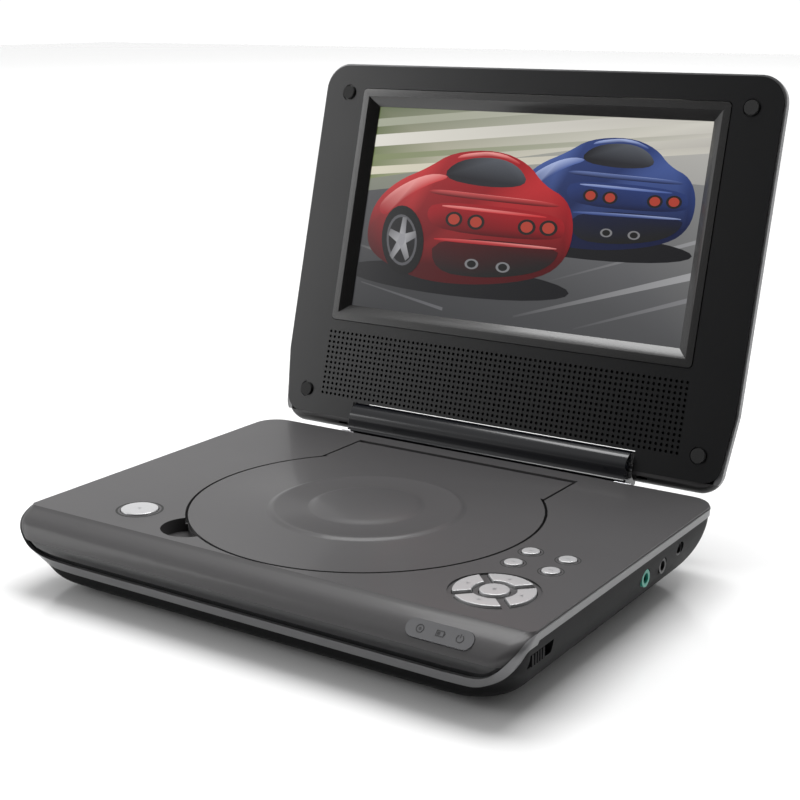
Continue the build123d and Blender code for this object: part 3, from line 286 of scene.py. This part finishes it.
def ring(bm, x, y, r, wide, z, t, steps=28, start=0.0, sweep=360.0):
    """A thin raised ring or arc of a pictogram, spun from its cut section."""
    made = bmesh.ops.create_grid(bm, x_segments=1, y_segments=1, size=0.5)
    a = math.radians(start)
    section = (Matrix.Translation((x, y, z + t / 2)) @ Matrix.Rotation(a, 4, "Z")
               @ Matrix.Translation((r, 0, 0)) @ Matrix.Rotation(math.radians(90), 4, "X")
               @ Matrix.Diagonal((wide, t, 1, 1)))
    bmesh.ops.transform(bm, matrix=section, verts=made["verts"])
    face = list({f for v in made["verts"] for f in v.link_faces})
    whole = sweep >= 360
    bmesh.ops.spin(bm, geom=face + made["verts"] + list({e for f in face for e in f.edges}),
                   cent=(x, y, z), axis=(0, 0, 1), angle=math.radians(sweep), steps=steps,
                   use_merge=whole, use_duplicate=False)


pict = 0.05 * mm
icons = bmesh.new()
for kx in (-6.8 * mm, 0.3 * mm, 7.2 * mm):
    if kx < -1 * mm:
        ring(icons, kx, 0, 1.25 * mm, 0.28 * mm, 0, pict)
        ring(icons, kx, 0, 0.35 * mm, 0.22 * mm, 0, pict, 16)
    elif kx < 1 * mm:
        for px, py, pw, ph in ((0, 0.85, 2.7, 0.24), (0, -0.85, 2.7, 0.24), (-1.3, 0, 0.24, 1.7),
                               (1.3, 0, 0.24, 1.7), (1.62, 0, 0.3, 0.7), (-0.5, 0, 0.9, 0.9)):
            slab(icons, kx + px * mm, py * mm, pw * mm, ph * mm, 0, pict)
    else:
        ring(icons, kx, 0, 1.2 * mm, 0.26 * mm, 0, pict, 24, 120, 300)
        slab(icons, kx, 0.9 * mm, 0.26 * mm, 1.3 * mm, 0, pict)
bmesh.ops.recalc_face_normals(icons, faces=icons.faces)
new_piece("lamp_pictograms", icons, print_grey, "base", lamp_face)

# ---------------------------------------------------------------------------
# Sockets and slide switch on the right wall: moulded jacks on the main board
# behind round holes, a teal ring marking the headphone socket.
teal = finish_of("teal_moulding", (0.030, 0.33, 0.24, 1), (0.025, 0.28, 0.21, 1), 0.3, 0.05,
                 2000, 0.1)
socket_black = finish_of("socket_black", (0.012, 0.012, 0.012, 1), (0.02, 0.02, 0.02, 1), 0.35,
                         0.05, 2200, 0.15)
smooth_copy("jack_ring", "base", teal, bevel=0.12 * mm)
for socket in ("headphone_jack", "av_jack", "dc_jack", "switch_body"):
    smooth_copy(socket, "base", socket_black, bevel=0.1 * mm)
smooth_copy("power_switch", "power_switch_body", shell_black, bevel=0.12 * mm)

# ---------------------------------------------------------------------------
# Disc well and the drive in it: black moulded well, motor and feed screw of
# plated steel, sled on two ground rails, turntable with its disc clamp.
grey_abs = finish_of("grey_moulding", (0.07, 0.07, 0.075, 1), (0.09, 0.09, 0.095, 1), 0.5, 0.08,
                     2200, 0.2)
lens_blue = finish_of("coated_lens", (0.03, 0.05, 0.16, 1), (0.05, 0.03, 0.14, 1), 0.05, 0.02,
                      900, 0.0, coat=1.0, coat_rough=0.02)
for part, body, look in (("disc_well", "base", shell_black), ("sled_rails", "base", screw_steel),
                         ("spindle_motor", "base", screw_steel), ("feed_motor", "base", screw_steel),
                         ("laser_sled", "laser", grey_abs), ("laser_lens", "laser", lens_blue),
                         ("turntable", "disc_hub", socket_black),
                         ("hub_catches", "disc_hub", screw_steel)):
    smooth_copy(part, body, look)

# ---------------------------------------------------------------------------
# Boards and cells: green solder-masked boards with tinned switches, and two
# cells in blue shrink sleeve. All of them are shut inside.
board_green = finish_of("solder_mask", (0.010, 0.09, 0.035, 1), (0.012, 0.11, 0.04, 1), 0.3, 0.1,
                        700, 0.3)
chip_black = finish_of("chip_epoxy", (0.02, 0.02, 0.02, 1), (0.03, 0.03, 0.03, 1), 0.55, 0.1,
                       3000, 0.2)
cell_blue = finish_of("cell_sleeve", (0.03, 0.10, 0.30, 1), (0.025, 0.08, 0.26, 1), 0.25, 0.08,
                      300, 0.1)
tin = finish_of("tinned_brass", (0.5, 0.45, 0.35, 1), (0.45, 0.4, 0.3, 1), 0.35, 0.1, 3000, 0.2,
                metal=1.0)
for part, look in (("main_board", board_green), ("key_board", board_green),
                   ("board_chips", chip_black), ("battery_cells", cell_blue),
                   ("tact_switches", tin)):
    refinish(part, look)

# ---------------------------------------------------------------------------
# Keys: moulded caps sprayed bright silver, each on its own switch, with a plain
# printed mark. The round open key stands beside the door, the arrow ring and
# four small keys right; a flat black ring round each round cap is painted shade for its gap.
key_silver = finish_of("key_silver", (0.58, 0.58, 0.585, 1), (0.52, 0.52, 0.53, 1), 0.26, 0.06,
                       5000, 0.1, metal=0.35)
key_names = ("key_a", "key_b", "key_c", "key_d", "enter_key", "nav_right", "nav_up", "nav_left",
             "nav_down", "open_button")
for key in key_names:
    smooth_copy(key, key + "_body", key_silver, bevel=0.1 * mm)
key_print = finish_of("key_print_grey", (0.16, 0.16, 0.165, 1), (0.2, 0.2, 0.205, 1), 0.4, 0.05,
                      3000, 0.1)
gap_shade_black = finish_of("key_gap_black", (0.006, 0.006, 0.006, 1), (0.009, 0.009, 0.009, 1), 0.7, 0.05,
                      3000, 0.1)
for key, turn in zip(key_names, (None, None, None, None, 45, 0, 90, 180, 270, 90)):
    lo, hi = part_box(key)
    mid = (lo + hi) / 2
    mark = bmesh.new()
    if turn is None:
        slab(mark, mid.x, mid.y, 1.5 * mm, 0.35 * mm, hi.z, 0.02 * mm)
    else:
        bmesh.ops.create_circle(mark, segments=4 if turn == 45 else 3, cap_ends=True,
                                radius=0.85 * mm,
                                matrix=Matrix.Translation((mid.x, mid.y, hi.z + 0.02 * mm))
                                @ Matrix.Rotation(math.radians(turn), 4, "Z"))
    new_piece(key + "_mark", mark, key_print, key + "_body")
deck_z = 28.5 * mm
# Painted shade: a flat black ring at deck level round each round cap stands for the dark of its gap.
gaps = bmesh.new()
for key, wide in (("open_button", 0.8), ("key_a", 0.4), ("key_b", 0.4), ("key_c", 0.4),
                  ("key_d", 0.4)):
    lo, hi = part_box(key)
    half = (hi.x - lo.x) / 2
    ring(gaps, (lo.x + hi.x) / 2, (lo.y + hi.y) / 2, half + (0.1 + wide / 2) * mm, wide * mm,
         deck_z - 0.04 * mm, 0.06 * mm, 48)
bmesh.ops.recalc_face_normals(gaps, faces=gaps.faces)
new_piece("key_gaps", gaps, gap_shade_black, "base")

# ---------------------------------------------------------------------------
# Disc door: a thin moulded lid in the deck's grey, on two pins at the back, with
# a hook that snaps into the well. Its raised ring and raised middle are spun
# from one section, a hair proud of the plain door.
smooth_copy("disc_door", "door", deck_finish, bevel=0.15 * mm)
smooth_copy("door_catch", "door", socket_black)
hub_rise = 1.55 * mm
door_mid_y = -29.2 * mm
door_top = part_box("disc_door")[1].z - hub_rise
pressing = bmesh.new()
section = ((37.0, -0.05), (36.0, 0.10), (35.2, 0.48), (34.4, 0.72), (33.6, 0.70), (32.4, 0.52),
           (24.0, 0.50), (21.4, 0.56), (19.6, 0.72), (18.7, 1.28), (18.0, 1.52), (17.3, 1.55),
           (16.8, 1.50), (16.4, 1.02), (15.9, 0.96), (0.0, 0.96))
rim_line = [pressing.verts.new((r * mm, door_mid_y, door_top + z * mm)) for r, z in section]
for a, b in zip(rim_line, rim_line[1:]):
    pressing.edges.new((a, b))
bmesh.ops.spin(pressing, geom=pressing.verts[:] + pressing.edges[:], cent=(0, door_mid_y, 0),
               axis=(0, 0, 1), angle=math.tau, steps=120, use_merge=True)
bmesh.ops.remove_doubles(pressing, verts=pressing.verts, dist=1e-6)
bmesh.ops.recalc_face_normals(pressing, faces=pressing.faces)
new_piece("door_pressing", pressing, deck_finish, "door", smooth=True)

# ---------------------------------------------------------------------------
# Lid face: black ABS with a leathery spark texture, dimpled over the two
# speakers and between them, so the grille reads as one field of dots.
lid_open = math.radians(105.2)
lid_foot = Vector((0, 54.0 * mm, deck_z))
lid_up = Vector((0, -math.cos(lid_open), math.sin(lid_open)))
lid_out = Vector((0, -math.sin(lid_open), -math.cos(lid_open)))
lid_place = Matrix.Translation(lid_foot) @ Matrix((
    (1, 0, 0, 0), (0, lid_up.y, lid_out.y, 0), (0, lid_up.z, lid_out.z, 0), (0, 0, 0, 1)))
lid_back = lid_place.inverted()
hole_pitch = 2.26 * mm
holes_u, holes_v = 75, 13
grille_v = 26.4 * mm
grille_hw = hole_pitch * holes_u / 2
grille_hh = hole_pitch * holes_v / 2
face_black = finish_of("lid_face_black", (0.007, 0.0072, 0.008, 1), (0.005, 0.005, 0.0055, 1),
                       0.30, 0.08, 1500, 0.35, specular=0.34)

bezel = smooth_copy("lid_bezel", "lid", face_black)
cut = bmesh.new()
cut.from_mesh(bezel.data)
cut.transform(lid_back)
for at, way in (((grille_hw, 0, 0), (1, 0, 0)), ((-grille_hw, 0, 0), (-1, 0, 0)),
                ((0, grille_v + grille_hh, 0), (0, 1, 0)), ((0, grille_v - grille_hh, 0), (0, -1, 0))):
    bmesh.ops.bisect_plane(cut, geom=cut.verts[:] + cut.edges[:] + cut.faces[:], dist=1e-7,
                           plane_co=at, plane_no=way)
gone = [f for f in cut.faces if abs(f.calc_center_median().x) < grille_hw
        and abs(f.calc_center_median().y - grille_v) < grille_hh]
bmesh.ops.delete(cut, geom=gone, context="FACES")
cut.transform(lid_place)
cut.to_mesh(bezel.data)
cut.free()

grille = bmesh.new()
hole_r = 0.62 * mm
cup_depth = 1.1 * mm
around = 16
outer = bmesh.ops.create_circle(grille, segments=around, radius=hole_pitch / 2)["verts"]
for v in outer:
    v.co *= (hole_pitch / 2) / max(abs(v.co.x), abs(v.co.y))
bmesh.ops.create_circle(grille, segments=around, radius=hole_r)
bmesh.ops.bridge_loops(grille, edges=grille.edges[:])
rim = [e for e in grille.edges if all(abs(v.co.length - hole_r) < 1e-7 for v in e.verts)]
wall = bmesh.ops.extrude_edge_only(grille, edges=rim)["geom"]
low = [g for g in wall if isinstance(g, bmesh.types.BMVert)]
bmesh.ops.translate(grille, verts=low, vec=(0, 0, -cup_depth))
bmesh.ops.contextual_create(grille, geom=[g for g in wall if isinstance(g, bmesh.types.BMEdge)])
cell = grille.verts[:] + grille.edges[:] + grille.faces[:]
bmesh.ops.translate(grille, verts=grille.verts[:],
                    vec=(-grille_hw + hole_pitch / 2, grille_v - grille_hh + hole_pitch / 2, 0))
for i in range(1, holes_u):
    made = bmesh.ops.duplicate(grille, geom=cell)["geom"]
    bmesh.ops.translate(grille, verts=[g for g in made if isinstance(g, bmesh.types.BMVert)],
                        vec=(i * hole_pitch, 0, 0))
row = grille.verts[:] + grille.edges[:] + grille.faces[:]
for j in range(1, holes_v):
    made = bmesh.ops.duplicate(grille, geom=row)["geom"]
    bmesh.ops.translate(grille, verts=[g for g in made if isinstance(g, bmesh.types.BMVert)],
                        vec=(0, j * hole_pitch, 0))
bmesh.ops.remove_doubles(grille, verts=grille.verts, dist=1e-6)
bmesh.ops.recalc_face_normals(grille, faces=grille.faces)
if sum(f.normal.z * f.calc_area() for f in grille.faces) < 0:
    bmesh.ops.reverse_faces(grille, faces=grille.faces)
new_piece("speaker_grille", grille, face_black, "lid", lid_place)

# ---------------------------------------------------------------------------
# Lid shell: the bright piping round the face, the moulded back in the deck's
# grey, its screws, the steel hinge arms and four soft bumpers.
smooth_copy("lid_trim_band", "lid", silver_paint)
smooth_copy("lid_back_shell", "lid", deck_finish, bevel=0.2 * mm, sharp=35)
smooth_copy("lid_screws", "lid", screw_steel, bevel=0.1 * mm)
smooth_copy("lid_hinge_arms", "lid", screw_steel)
smooth_copy("lid_bumpers", "lid", rubber_black, bevel=0.6 * mm)

# ---------------------------------------------------------------------------
# Screen: a polished black frame that slopes in to the panel, the panel itself,
# and the moving picture it shows, which is an invented street race.
screen_black = finish_of("screen_frame_black", (0.014, 0.0135, 0.0135, 1),
                         (0.018, 0.0175, 0.0175, 1), 0.22, 0.05, 2400, 0.1, coat=0.4,
                         coat_rough=0.12)
smooth_copy("screen_frame", "lid", screen_black, bevel=0.2 * mm)
panel_glass = finish_of("panel_black", (0.01, 0.01, 0.012, 1), (0.012, 0.012, 0.014, 1), 0.15)
refinish("lcd_panel", panel_glass)
screen_v = 96.2 * mm
screen_w, screen_h = 154.1 * mm, 87.4 * mm

picture_mat = bpy.data.materials.new("lit_picture")
picture_mat.use_nodes = True
pt = picture_mat.node_tree
pb = pt.nodes["Principled BSDF"]
tint = pt.nodes.new("ShaderNodeVertexColor")
tint.layer_name = "picture"
link(pt, tint, "Color", pb, "Emission Color")
pb.inputs["Emission Strength"].default_value = 0.9
pb.inputs["Base Color"].default_value = (0.01, 0.01, 0.01, 1)
pb.inputs["Roughness"].default_value = 0.18
pb.inputs["Specular IOR Level"].default_value = 0.3

picture = bmesh.new()
inks = picture.verts.layers.float_color.new("picture")
sheet_step = 0.006 * mm
layer = [0]


def paint(points, tints, soften=0):
    """One flat patch of the picture; points in hundredths of the panel, a tint at each point."""
    z = -3.38 * mm + layer[0] * sheet_step
    layer[0] += 1
    rows = [Vector((*p, *(tints[i] if isinstance(tints[0], tuple) else tints)))
            for i, p in enumerate(points)]
    for _ in range(soften):
        rows = [a.lerp(b, t) for a, b in zip(rows, rows[1:] + rows[:1]) for t in (0.25, 0.75)]
    verts = []
    for px, py, *tint in rows:
        v = picture.verts.new(((px / 100 - 0.5) * screen_w, screen_v + (py / 100 - 0.5) * screen_h, z))
        v[inks] = (*tint, 1)
        verts.append(v)
    picture.faces.new(verts)


def round_patch(cx, cy, rx, ry, tint, steps=28, turn=0.0):
    """A round or oval patch of one tint."""
    c, n = math.cos(math.radians(turn)), math.sin(math.radians(turn))
    pts = []
    for i in range(steps):
        a = 2 * math.pi * i / steps
        x, y = rx * math.cos(a), ry * math.sin(a)
        pts.append((cx + x * c - y * n, cy + x * n + y * c))
    paint(pts, tint)


# far wall and verge, smeared by speed, then the road and its streaks
paint([(0, 0), (100, 0), (100, 100), (0, 100)], [(0.06, 0.06, 0.065), (0.14, 0.14, 0.15),
                                                (0.50, 0.49, 0.46), (0.30, 0.32, 0.24)])
paint([(0, 64), (30, 74), (62, 84), (100, 88), (100, 100), (0, 100)],
      [(0.20, 0.24, 0.10), (0.55, 0.52, 0.42), (0.62, 0.60, 0.52), (0.50, 0.48, 0.44),
       (0.66, 0.64, 0.58), (0.10, 0.13, 0.05)])
for low, high, ink in ((66, 70, (0.70, 0.66, 0.52)), (73, 76, (0.20, 0.24, 0.10)),
                       (80, 86, (0.75, 0.73, 0.66)), (90, 94, (0.36, 0.38, 0.28))):
    paint([(0, low), (100, low + 20), (100, high + 19), (0, high)],
          [ink, (0.6, 0.58, 0.52), (0.55, 0.53, 0.48), ink])
paint([(0, 0), (100, 0), (100, 72), (60, 74), (0, 58)],
      [(0.030, 0.031, 0.034), (0.085, 0.086, 0.09), (0.24, 0.24, 0.24), (0.16, 0.16, 0.17),
       (0.07, 0.07, 0.075)])
for x0, y0, x1, y1, wide, ink in ((52, 4, 100, 30, 3.4, (0.36, 0.36, 0.37)),
                                  (70, 2, 100, 20, 2.2, (0.22, 0.22, 0.23)),
                                  (0, 30, 16, 24, 2.6, (0.30, 0.29, 0.27)),
                                  (60, 22, 100, 46, 1.8, (0.30, 0.30, 0.31)),
                                  (2, 12, 30, 3, 1.6, (0.13, 0.13, 0.14))):
    paint([(x0, y0), (x1, y1), (x1, y1 + wide), (x0, y0 + wide * 0.3)],
          [(0.08, 0.08, 0.085), ink, ink, (0.08, 0.08, 0.085)])


def wheel(cx, cy, rx, ry, turn):
    """A racing wheel seen at a slant: tyre, dished rim, five spokes and a cap."""
    round_patch(cx, cy, rx, ry, (0.006, 0.006, 0.007), turn=turn)
    round_patch(cx - 0.3, cy, rx * 0.72, ry * 0.74, (0.10, 0.10, 0.11), turn=turn)
    round_patch(cx - 0.3, cy, rx * 0.62, ry * 0.66, (0.012, 0.012, 0.014), turn=turn)
    for k in range(5):
        a = math.radians(18 + 72 * k)
        c, n = math.cos(a), math.sin(a)
        w = 0.16
        spoke = [(w * -n, w * c), (0.66 * c - w * n * 0.6, 0.66 * n + w * c * 0.6),
                 (0.66 * c + w * n * 0.6, 0.66 * n - w * c * 0.6), (w * n, -w * c)]
        paint([(cx - 0.3 + rx * x, cy + ry * y) for x, y in spoke],
              [(0.45, 0.45, 0.47), (0.22, 0.22, 0.23), (0.16, 0.16, 0.17), (0.34, 0.34, 0.36)])
    round_patch(cx - 0.3, cy, rx * 0.16, ry * 0.18, (0.30, 0.30, 0.32), 14)


def coupe(ox, oy, k, dark, mid, light, shine):
    """An invented coupe from behind: shadow, body, cabin, deck spoiler and lamps."""
    def at(pts):
        return [(ox + k * x, oy + k * y) for x, y in pts]
    def panel(pts, tints):
        paint(at(pts), tints, 2)
    round_patch(ox + 28 * k, oy + 3 * k, 33 * k, 7 * k, (0.008, 0.008, 0.010))
    panel([(0, 20), (1, 34), (7, 45), (16, 52), (23, 60), (36, 62), (45, 57), (50, 48),
              (57, 43), (60, 31), (59, 17), (53, 8), (37, 2), (20, 1), (9, 6), (2, 12)],
          [dark, mid, light, light, mid, mid, mid, light, mid, mid, dark, dark, dark, dark,
           dark, dark])
    panel([(2, 33), (8, 43), (17, 50), (24, 49), (16, 44), (9, 36), (5, 28)],
          [mid, shine, shine, light, light, mid, mid])
    panel([(20, 48), (25, 57), (36, 59), (43, 55), (46, 47), (34, 45)],
          [(0.012, 0.012, 0.016)] * 2 + [(0.10, 0.11, 0.13)] * 2 + [(0.02, 0.02, 0.026)] * 2)
    panel([(24, 57), (26, 59.5), (36, 61.5), (43, 57), (42, 56), (36, 59.6), (26, 57.6)],
          [light, shine, shine, light, mid, mid, mid])
    panel([(18, 43), (34, 42), (54, 41), (56, 38.6), (34, 39.4), (17, 40.6)],
          [light, shine, light, dark, dark, dark])
    panel([(20, 38), (55, 36.4), (58, 30), (56, 24), (22, 24), (17, 31)],
          [mid, mid, mid, dark, dark, mid])
    panel([(22, 36.4), (52, 35), (52, 33.8), (22, 34.8)], [shine, light, light, light])
    for lx, ly in ((26, 30), (32.5, 29.6), (47, 29.4), (53, 29.8)):
        round_patch(ox + lx * k, oy + ly * k, 2.5 * k, 3.4 * k, (0.015, 0.012, 0.012), 20)
        round_patch(ox + lx * k, oy + ly * k, 1.7 * k, 2.4 * k, (0.42, 0.05, 0.03), 18)
    panel([(20, 22), (57, 22.6), (56, 15), (50, 9), (36, 5), (22, 6)],
          [dark, dark, (0.012, 0.012, 0.013), (0.01, 0.01, 0.01), (0.01, 0.01, 0.01),
           (0.012, 0.012, 0.013)])
    panel([(21, 21.4), (56, 22), (56, 20.6), (21, 19.6)], [light, shine, mid, mid])
    for lx in (33, 42):
        round_patch(ox + lx * k, oy + 11 * k, 2.0 * k, 2.3 * k, (0.20, 0.20, 0.21), 18)
        round_patch(ox + lx * k, oy + 11 * k, 1.3 * k, 1.6 * k, (0.01, 0.01, 0.01), 18)


coupe(47, 38, 0.86, (0.006, 0.010, 0.045), (0.020, 0.040, 0.16), (0.07, 0.12, 0.36),
      (0.42, 0.50, 0.78))
wheel(57.5, 50, 5.2, 11.5, 4)
coupe(1.5, 15, 1.08, (0.07, 0.002, 0.004), (0.34, 0.008, 0.014), (0.58, 0.03, 0.035),
      (0.90, 0.36, 0.34))
wheel(14, 35, 7.0, 17, 6)
new_piece("screen_picture", picture, picture_mat, "lid", lid_place)

# ---------------------------------------------------------------------------
# Inside the lid: display can, inverter board and two paper-cone speakers.
can_white = finish_of("can_white", (0.5, 0.5, 0.49, 1), (0.46, 0.46, 0.45, 1), 0.5)
cone_black = finish_of("paper_cone", (0.03, 0.03, 0.03, 1), (0.045, 0.045, 0.045, 1), 0.85, 0.1,
                       900, 0.6)
for part, look in (("lcd_can", can_white), ("lid_board", board_green),
                   ("speaker_frames", grey_abs), ("speaker_cones", cone_black),
                   ("speaker_magnets", screw_steel)):
    refinish(part, look)

# ---------------------------------------------------------------------------
# Studio: a pale glossy table, three soft lights, and a surround that is white
# at the sides and behind, dark in front, and a little dimmer higher up.
floor_bm = bmesh.new()
bmesh.ops.create_grid(floor_bm, x_segments=1, y_segments=1, size=6)
floor_mesh = bpy.data.meshes.new("floor")
floor_bm.to_mesh(floor_mesh)
floor_bm.free()
floor = bpy.data.objects.new("floor", floor_mesh)
bpy.context.scene.collection.objects.link(floor)
floor_mat = bpy.data.materials.new("pale_table")
floor_mat.use_nodes = True
fb = floor_mat.node_tree.nodes["Principled BSDF"]
fb.inputs["Base Color"].default_value = (0.93, 0.93, 0.93, 1)
fb.inputs["Roughness"].default_value = 0.10
floor_mesh.materials.append(floor_mat)

world = bpy.data.worlds.new("surround")
bpy.context.scene.world = world
world.use_nodes = True
wt = world.node_tree
sky = wt.nodes["Background"]
way = wt.nodes.new("ShaderNodeTexCoord")
toward = wt.nodes.new("ShaderNodeVectorMath")
toward.operation = "DOT_PRODUCT"
toward.inputs[1].default_value = (0.6, -0.8, 0)
shade = wt.nodes.new("ShaderNodeMapRange")
shade.interpolation_type = "SMOOTHSTEP"
shade.inputs["From Min"].default_value = 0.25
shade.inputs["From Max"].default_value = 0.60
shade.inputs["To Min"].default_value = 1.0
shade.inputs["To Max"].default_value = 0.03
link(wt, way, "Generated", toward, 0)
link(wt, toward, "Value", shade, "Value")
rise = wt.nodes.new("ShaderNodeSeparateXYZ")
link(wt, way, "Generated", rise, "Vector")
dim = wt.nodes.new("ShaderNodeMapRange")
dim.interpolation_type = "SMOOTHSTEP"
dim.inputs["From Min"].default_value = 0.08
dim.inputs["From Max"].default_value = 0.24
dim.inputs["To Min"].default_value = 1.05
dim.inputs["To Max"].default_value = 0.66
link(wt, rise, "Z", dim, "Value")
both = wt.nodes.new("ShaderNodeMath")
both.operation = "MULTIPLY"
link(wt, shade, "Result", both, 0)
link(wt, dim, "Result", both, 1)
link(wt, both, "Value", sky, "Color")
bpy.context.scene.view_settings.view_transform = "Standard"


def soft_box(name, at, size, power, aim=(0, 0, 0.05)):
    """A rectangular soft light, aimed at a point."""
    lamp = bpy.data.lights.new(name, "AREA")
    lamp.shape = "RECTANGLE"
    lamp.size, lamp.size_y = size
    lamp.energy = power
    ob = bpy.data.objects.new(name, lamp)
    ob.location = at
    ob.rotation_euler = (Vector(aim) - Vector(at)).to_track_quat("-Z", "Y").to_euler()
    bpy.context.scene.collection.objects.link(ob)
    return ob


soft_box("overhead", (-0.1, 0.4, 1.3), (1.2, 0.8), 20)
soft_box("left_front", (-1.3, -0.95, 0.5), (0.7, 1.0), 8)
far_light = soft_box("far_floor", (-1.7, 2.6, 1.3), (2.4, 2.4), 38, (-1.7, 2.6, 0))
far_light.visible_glossy = False

camera = bpy.data.objects.new("camera", bpy.data.cameras.new("camera"))
camera.data.lens = 66.4
camera.data.sensor_width = 36
camera.location = (0.29193, -0.44880, 0.20539)
look_az, look_el = math.radians(33.469), math.radians(14.966)
look = Vector((-math.sin(look_az) * math.cos(look_el), math.cos(look_az) * math.cos(look_el),
               -math.sin(look_el)))
camera.rotation_euler = look.to_track_quat("-Z", "Y").to_euler()
bpy.context.scene.collection.objects.link(camera)
bpy.context.scene.camera = camera
